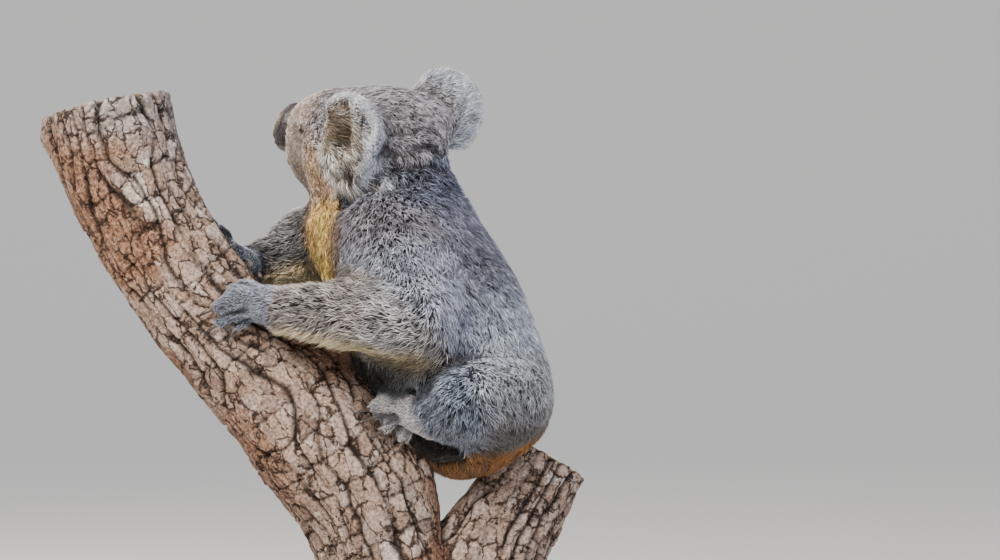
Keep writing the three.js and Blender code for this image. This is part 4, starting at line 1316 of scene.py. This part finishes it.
def makeEyes():
    v = eyeValues
    # a wet eyeball: the clear cornea gives one sharp highlight over a brown iris
    eyeball, tree = newMaterial("eyeballWetCornea")
    surfaceOf(tree, attributeOf(tree, "eyeTone", "Color"), 0.12, ior=1.38, coat=1.0, coatRoughness=0.02,
              coatIor=1.38)
    # bare lid rims: thin dark skin, slightly damp
    lidSkin, tree = newMaterial("bareLidSkin")
    pores = noiseOf(tree, objectPlace(tree), 0.8)
    shades = rampOf(tree, pores, (0.3, v["lidColours"][0]), (0.7, v["lidColours"][1]))
    surfaceOf(tree, shades, 0.38, normal=bumpOf(tree, pores, 0.5, 0.2))

    def bulge(ways):
        return ways * eyeRadius * (1 + v["lensRise"] * smoothStep(0.7, 1.0, ways[:, 0]))[:, None]

    for side in sidesOf:
        axes = eyeAxes(side)
        piece, ways = roundForm("eyeball" + side.title(), eyes[side], axes, v["rings"], bulge, eyeball)
        angle = np.degrees(np.arccos(np.clip(ways[:, 0], -1, 1)))
        streak = np.stack([np.arctan2(ways[:, 1], ways[:, 2]) * 9, angle * 0.08, 0 * angle], 1)
        streak = 0.75 + 0.5 * softNoise(streak, 1.0, 4)
        slit = np.hypot(ways[:, 1] / v["pupilNarrow"], ways[:, 2]) < np.sin(np.radians(v["pupilAngle"]))
        inner, mid, rim = [rgb(c) for c in v["irisColours"]]
        share = (angle / v["irisAngle"])[:, None]
        iris = inner + (mid - inner) * smoothStep(0.25, 0.6, share)
        iris = (iris + (rim - iris) * smoothStep(0.78, 1.0, share)) * streak[:, None]
        tone = np.where((angle < v["irisAngle"])[:, None], iris, rgb(v["whiteColour"]))
        tone = np.where(slit[:, None] & (angle < 60)[:, None], rgb(v["pupilColour"]), tone)
        setAttribute(piece.data, "eyeTone", np.clip(tone, 0, 1), "FLOAT_COLOR")
        finishPiece(piece, "eye", "eye_" + side)

        # the lids' rim: a soft rounded edge round an almond opening
        count, around = v["lidSides"]
        turn = np.linspace(0, circle, count, endpoint=False)
        wide = np.radians(lidValues["wide"]) * np.cos(turn)
        high = np.radians(lidValues["high"]) * np.sin(turn) * almond(np.cos(turn))
        way = unit(np.stack([np.cos(wide) * np.cos(high), np.sin(wide), np.cos(wide) * np.sin(high)], 1))
        line = way * (eyeRadius + v["lidLift"] * mm)
        outward = np.cross(way, unit(np.roll(line, -1, 0) - np.roll(line, 1, 0)))
        thick = v["lidThick"] * mm
        tube = tubePoints(line, thick * way, 1.5 * thick * outward, around)
        rim = meshObject("lidRim" + side.title(), eyes[side] + tube @ np.array(axes),
                         tubeFaces(count, around, closed=True), lidSkin)
        finishPiece(rim, "nose_skin")


makeEyes()

noseValues = {
    "rings": 110,
    "nostril": {"across": 0.6, "up": -0.42, "size": [0.19, 0.11], "deep": 6.0, "ridge": 0.9},
    "groove": 1.8,  # mm
    "wrinkle": 0.3,  # mm
    "colours": ["#262224", "#3e373b", "#62565d"],
    "nostrilShadeColour": "#0d0a0a",
}


def makeNose():
    v = noseValues
    # thick bare nose leather: fine pebbled grain, dull with a soft moist shine
    leather, tree = newMaterial("bareNoseLeather")
    pebbles = addNode(tree, "TexVoronoi", {"Vector": objectPlace(tree), "Scale": 1 / (1.1 * mm)})
    pebbles = pebbles, "Distance"
    shades = rampOf(tree, noiseOf(tree, objectPlace(tree), 9, 4.0), *zip((0.3, 0.52, 0.75), v["colours"]))
    grain = rampOf(tree, pebbles, (0.0, "#ffffff"), (0.75, "#8c8488"))
    worn = mixOf(tree, 1.0, shades, grain, "MULTIPLY")
    # painted shade in the nostrils and in the groove under the nose's middle
    worn = mixOf(tree, attributeOf(tree, "nostril"), worn, linearColour(v["nostrilShadeColour"]))
    surfaceOf(tree, worn, 0.42, specular=0.55, normal=bumpOf(tree, pebbles, 0.45, 0.35, invert=True))

    n = v["nostril"]
    dark = []

    def shape(ways):
        f, across, up = ways.T
        squared = np.abs(ways) ** 0.78 * np.sign(ways)
        squared /= np.linalg.norm(squared, axis=1, keepdims=True) ** 0.8
        wide = 1 - 0.24 * smoothStep(0.2, 1.0, up) - 0.22 * smoothStep(-0.45, -1.0, up)
        out = squared * np.stack([np.ones(len(f)), wide, np.ones(len(f))], 1) * np.array(noseRadii)
        hole = np.zeros(len(ways))
        ridge = np.zeros(len(ways))
        for sign in (1, -1):
            x = across * sign - n["across"]
            y = up - n["up"]
            tilted = np.stack([0.85 * x + 0.53 * y, -0.53 * x + 0.85 * y], 1)
            d = np.hypot(tilted[:, 0] / n["size"][0], (tilted[:, 1] + 2.2 * tilted[:, 0] ** 2) / n["size"][1])
            hole += np.exp(-d ** 2) * (f > -0.1)
            ridge += np.exp(-((d - 2.1) / 0.7) ** 2) * (f > 0)
        groove = np.exp(-(across / 0.06) ** 2) * smoothStep(-0.3, -0.7, up) * (f > 0)
        rough = softNoise(ways, 0.12, 31) + 0.6 * softNoise(ways, 0.06, 32)
        push = -n["deep"] * hole + n["ridge"] * ridge - v["groove"] * groove + v["wrinkle"] * rough
        # painted shade: darkest in the nostrils' holes, lighter in the groove
        dark.append(np.clip(hole * 1.5 + groove * 0.6, 0, 1))
        return (out + ways * push[:, None]) * mm

    piece, _ = roundForm("noseLeather", noseMid, noseAxes, v["rings"], shape, leather)
    setAttribute(piece.data, "nostril", dark[0])
    finishPiece(piece, "nose_skin", "nose")


# the closed mouth: a dark line of bare lip under the nose and back along both cheeks
mouthValues = {
    "halfWidth": 23, "below": -32, "curve": 0.012, "cleft": 10, "radius": 1.0, "above": 1.0,  # mm
    "sides": 8,
    "colour": "#1c1413",
}


def makeMouth():
    v = mouthValues
    # thin dark damp skin, seen as a line between the lips' hair
    lip, shaderTree = newMaterial("bareLipSkin")
    surfaceOf(shaderTree, linearColour(v["colour"]), 0.5)
    tree = BVHTree.FromPolygons([Vector(p) for p in skinPoints], skinFaces.tolist())

    def laid(left, up):
        start = headMid + (220 * headForward + left * headLeft + up * headUp) * mm
        place, normal, _, _ = tree.ray_cast(Vector(start), Vector(-headForward))
        return np.array(place) + np.array(normal) * v["above"] * mm

    across = np.linspace(-v["halfWidth"], v["halfWidth"], 45)
    lines = {
        "lipLine": [laid(l, v["below"] - v["curve"] * l ** 2) for l in across],
        "lipCleft": [laid(0, u) for u in np.linspace(v["below"], v["below"] + v["cleft"], 12)],
    }
    around = v["sides"]
    for name, line in lines.items():
        count = len(line)
        line = relax(np.array(line), np.stack([np.arange(count - 1), np.arange(1, count)], 1), 3)
        ahead = unit(np.gradient(line, axis=0))
        side = unit(np.cross(ahead, headForward))
        above = np.cross(side, ahead)
        radius = v["radius"] * mm * np.sqrt(np.clip(1 - np.linspace(-1, 1, count) ** 4, 0.02, 1))[:, None]
        cap = np.array([(0, 1, 2, 3), (0, 3, 4, 7), (4, 5, 6, 7)])
        faces = np.concatenate([tubeFaces(count, around, order=(1, 2, 3, 0)), cap,
                                cap[:, ::-1] + around * (count - 1)])
        piece = meshObject(name, tubePoints(line, side * radius, above * radius, around), faces, lip)
        finishPiece(piece, "nose_skin")


makeNose()
makeMouth()
print("face ready")

clawValues = {"growth": 0.35, "levels": 2, "baseColour": "#6b5e54", "tipColour": "#1d1917"}


def makeClaws():
    v = clawValues
    # curved claws of dark horn: polished by bark, with faint lines along them
    horn, tree = newMaterial("clawHornPolished")
    lines = noiseOf(tree, objectPlace(tree), 1.5, 3.0)
    shades = rampOf(tree, attributeOf(tree, "clawLength"), (0.1, v["baseColour"]), (0.75, v["tipColour"]))
    faint = rampOf(tree, lines, (0.3, "#9a9a9a"), (0.7, "#ffffff"))
    surfaceOf(tree, mixOf(tree, 1.0, shades, faint, "MULTIPLY"), 0.3, ior=1.54,
              normal=bumpOf(tree, lines, 0.25, 0.2))
    for node in [n for n in nodes if "claw" in n]:
        paw, _, number, side = node.split("_")
        piece = joinedCopy(f"{paw}Claw{number}{side.title()}", [node], v["growth"] * mm)
        mesh = modified(piece, "SUBSURF", levels=v["levels"], render_levels=v["levels"])
        mesh.materials.append(horn)
        smoothShaded(mesh)
        points = pointsOf(mesh)
        away = lengthOf(points - joints[side]["wrist" if paw == "hand" else "ankle"])
        setAttribute(mesh, "clawLength", (away - away.min()) / np.ptp(away))
        finishPiece(piece, "claw", node)


makeClaws()
print("claws ready")
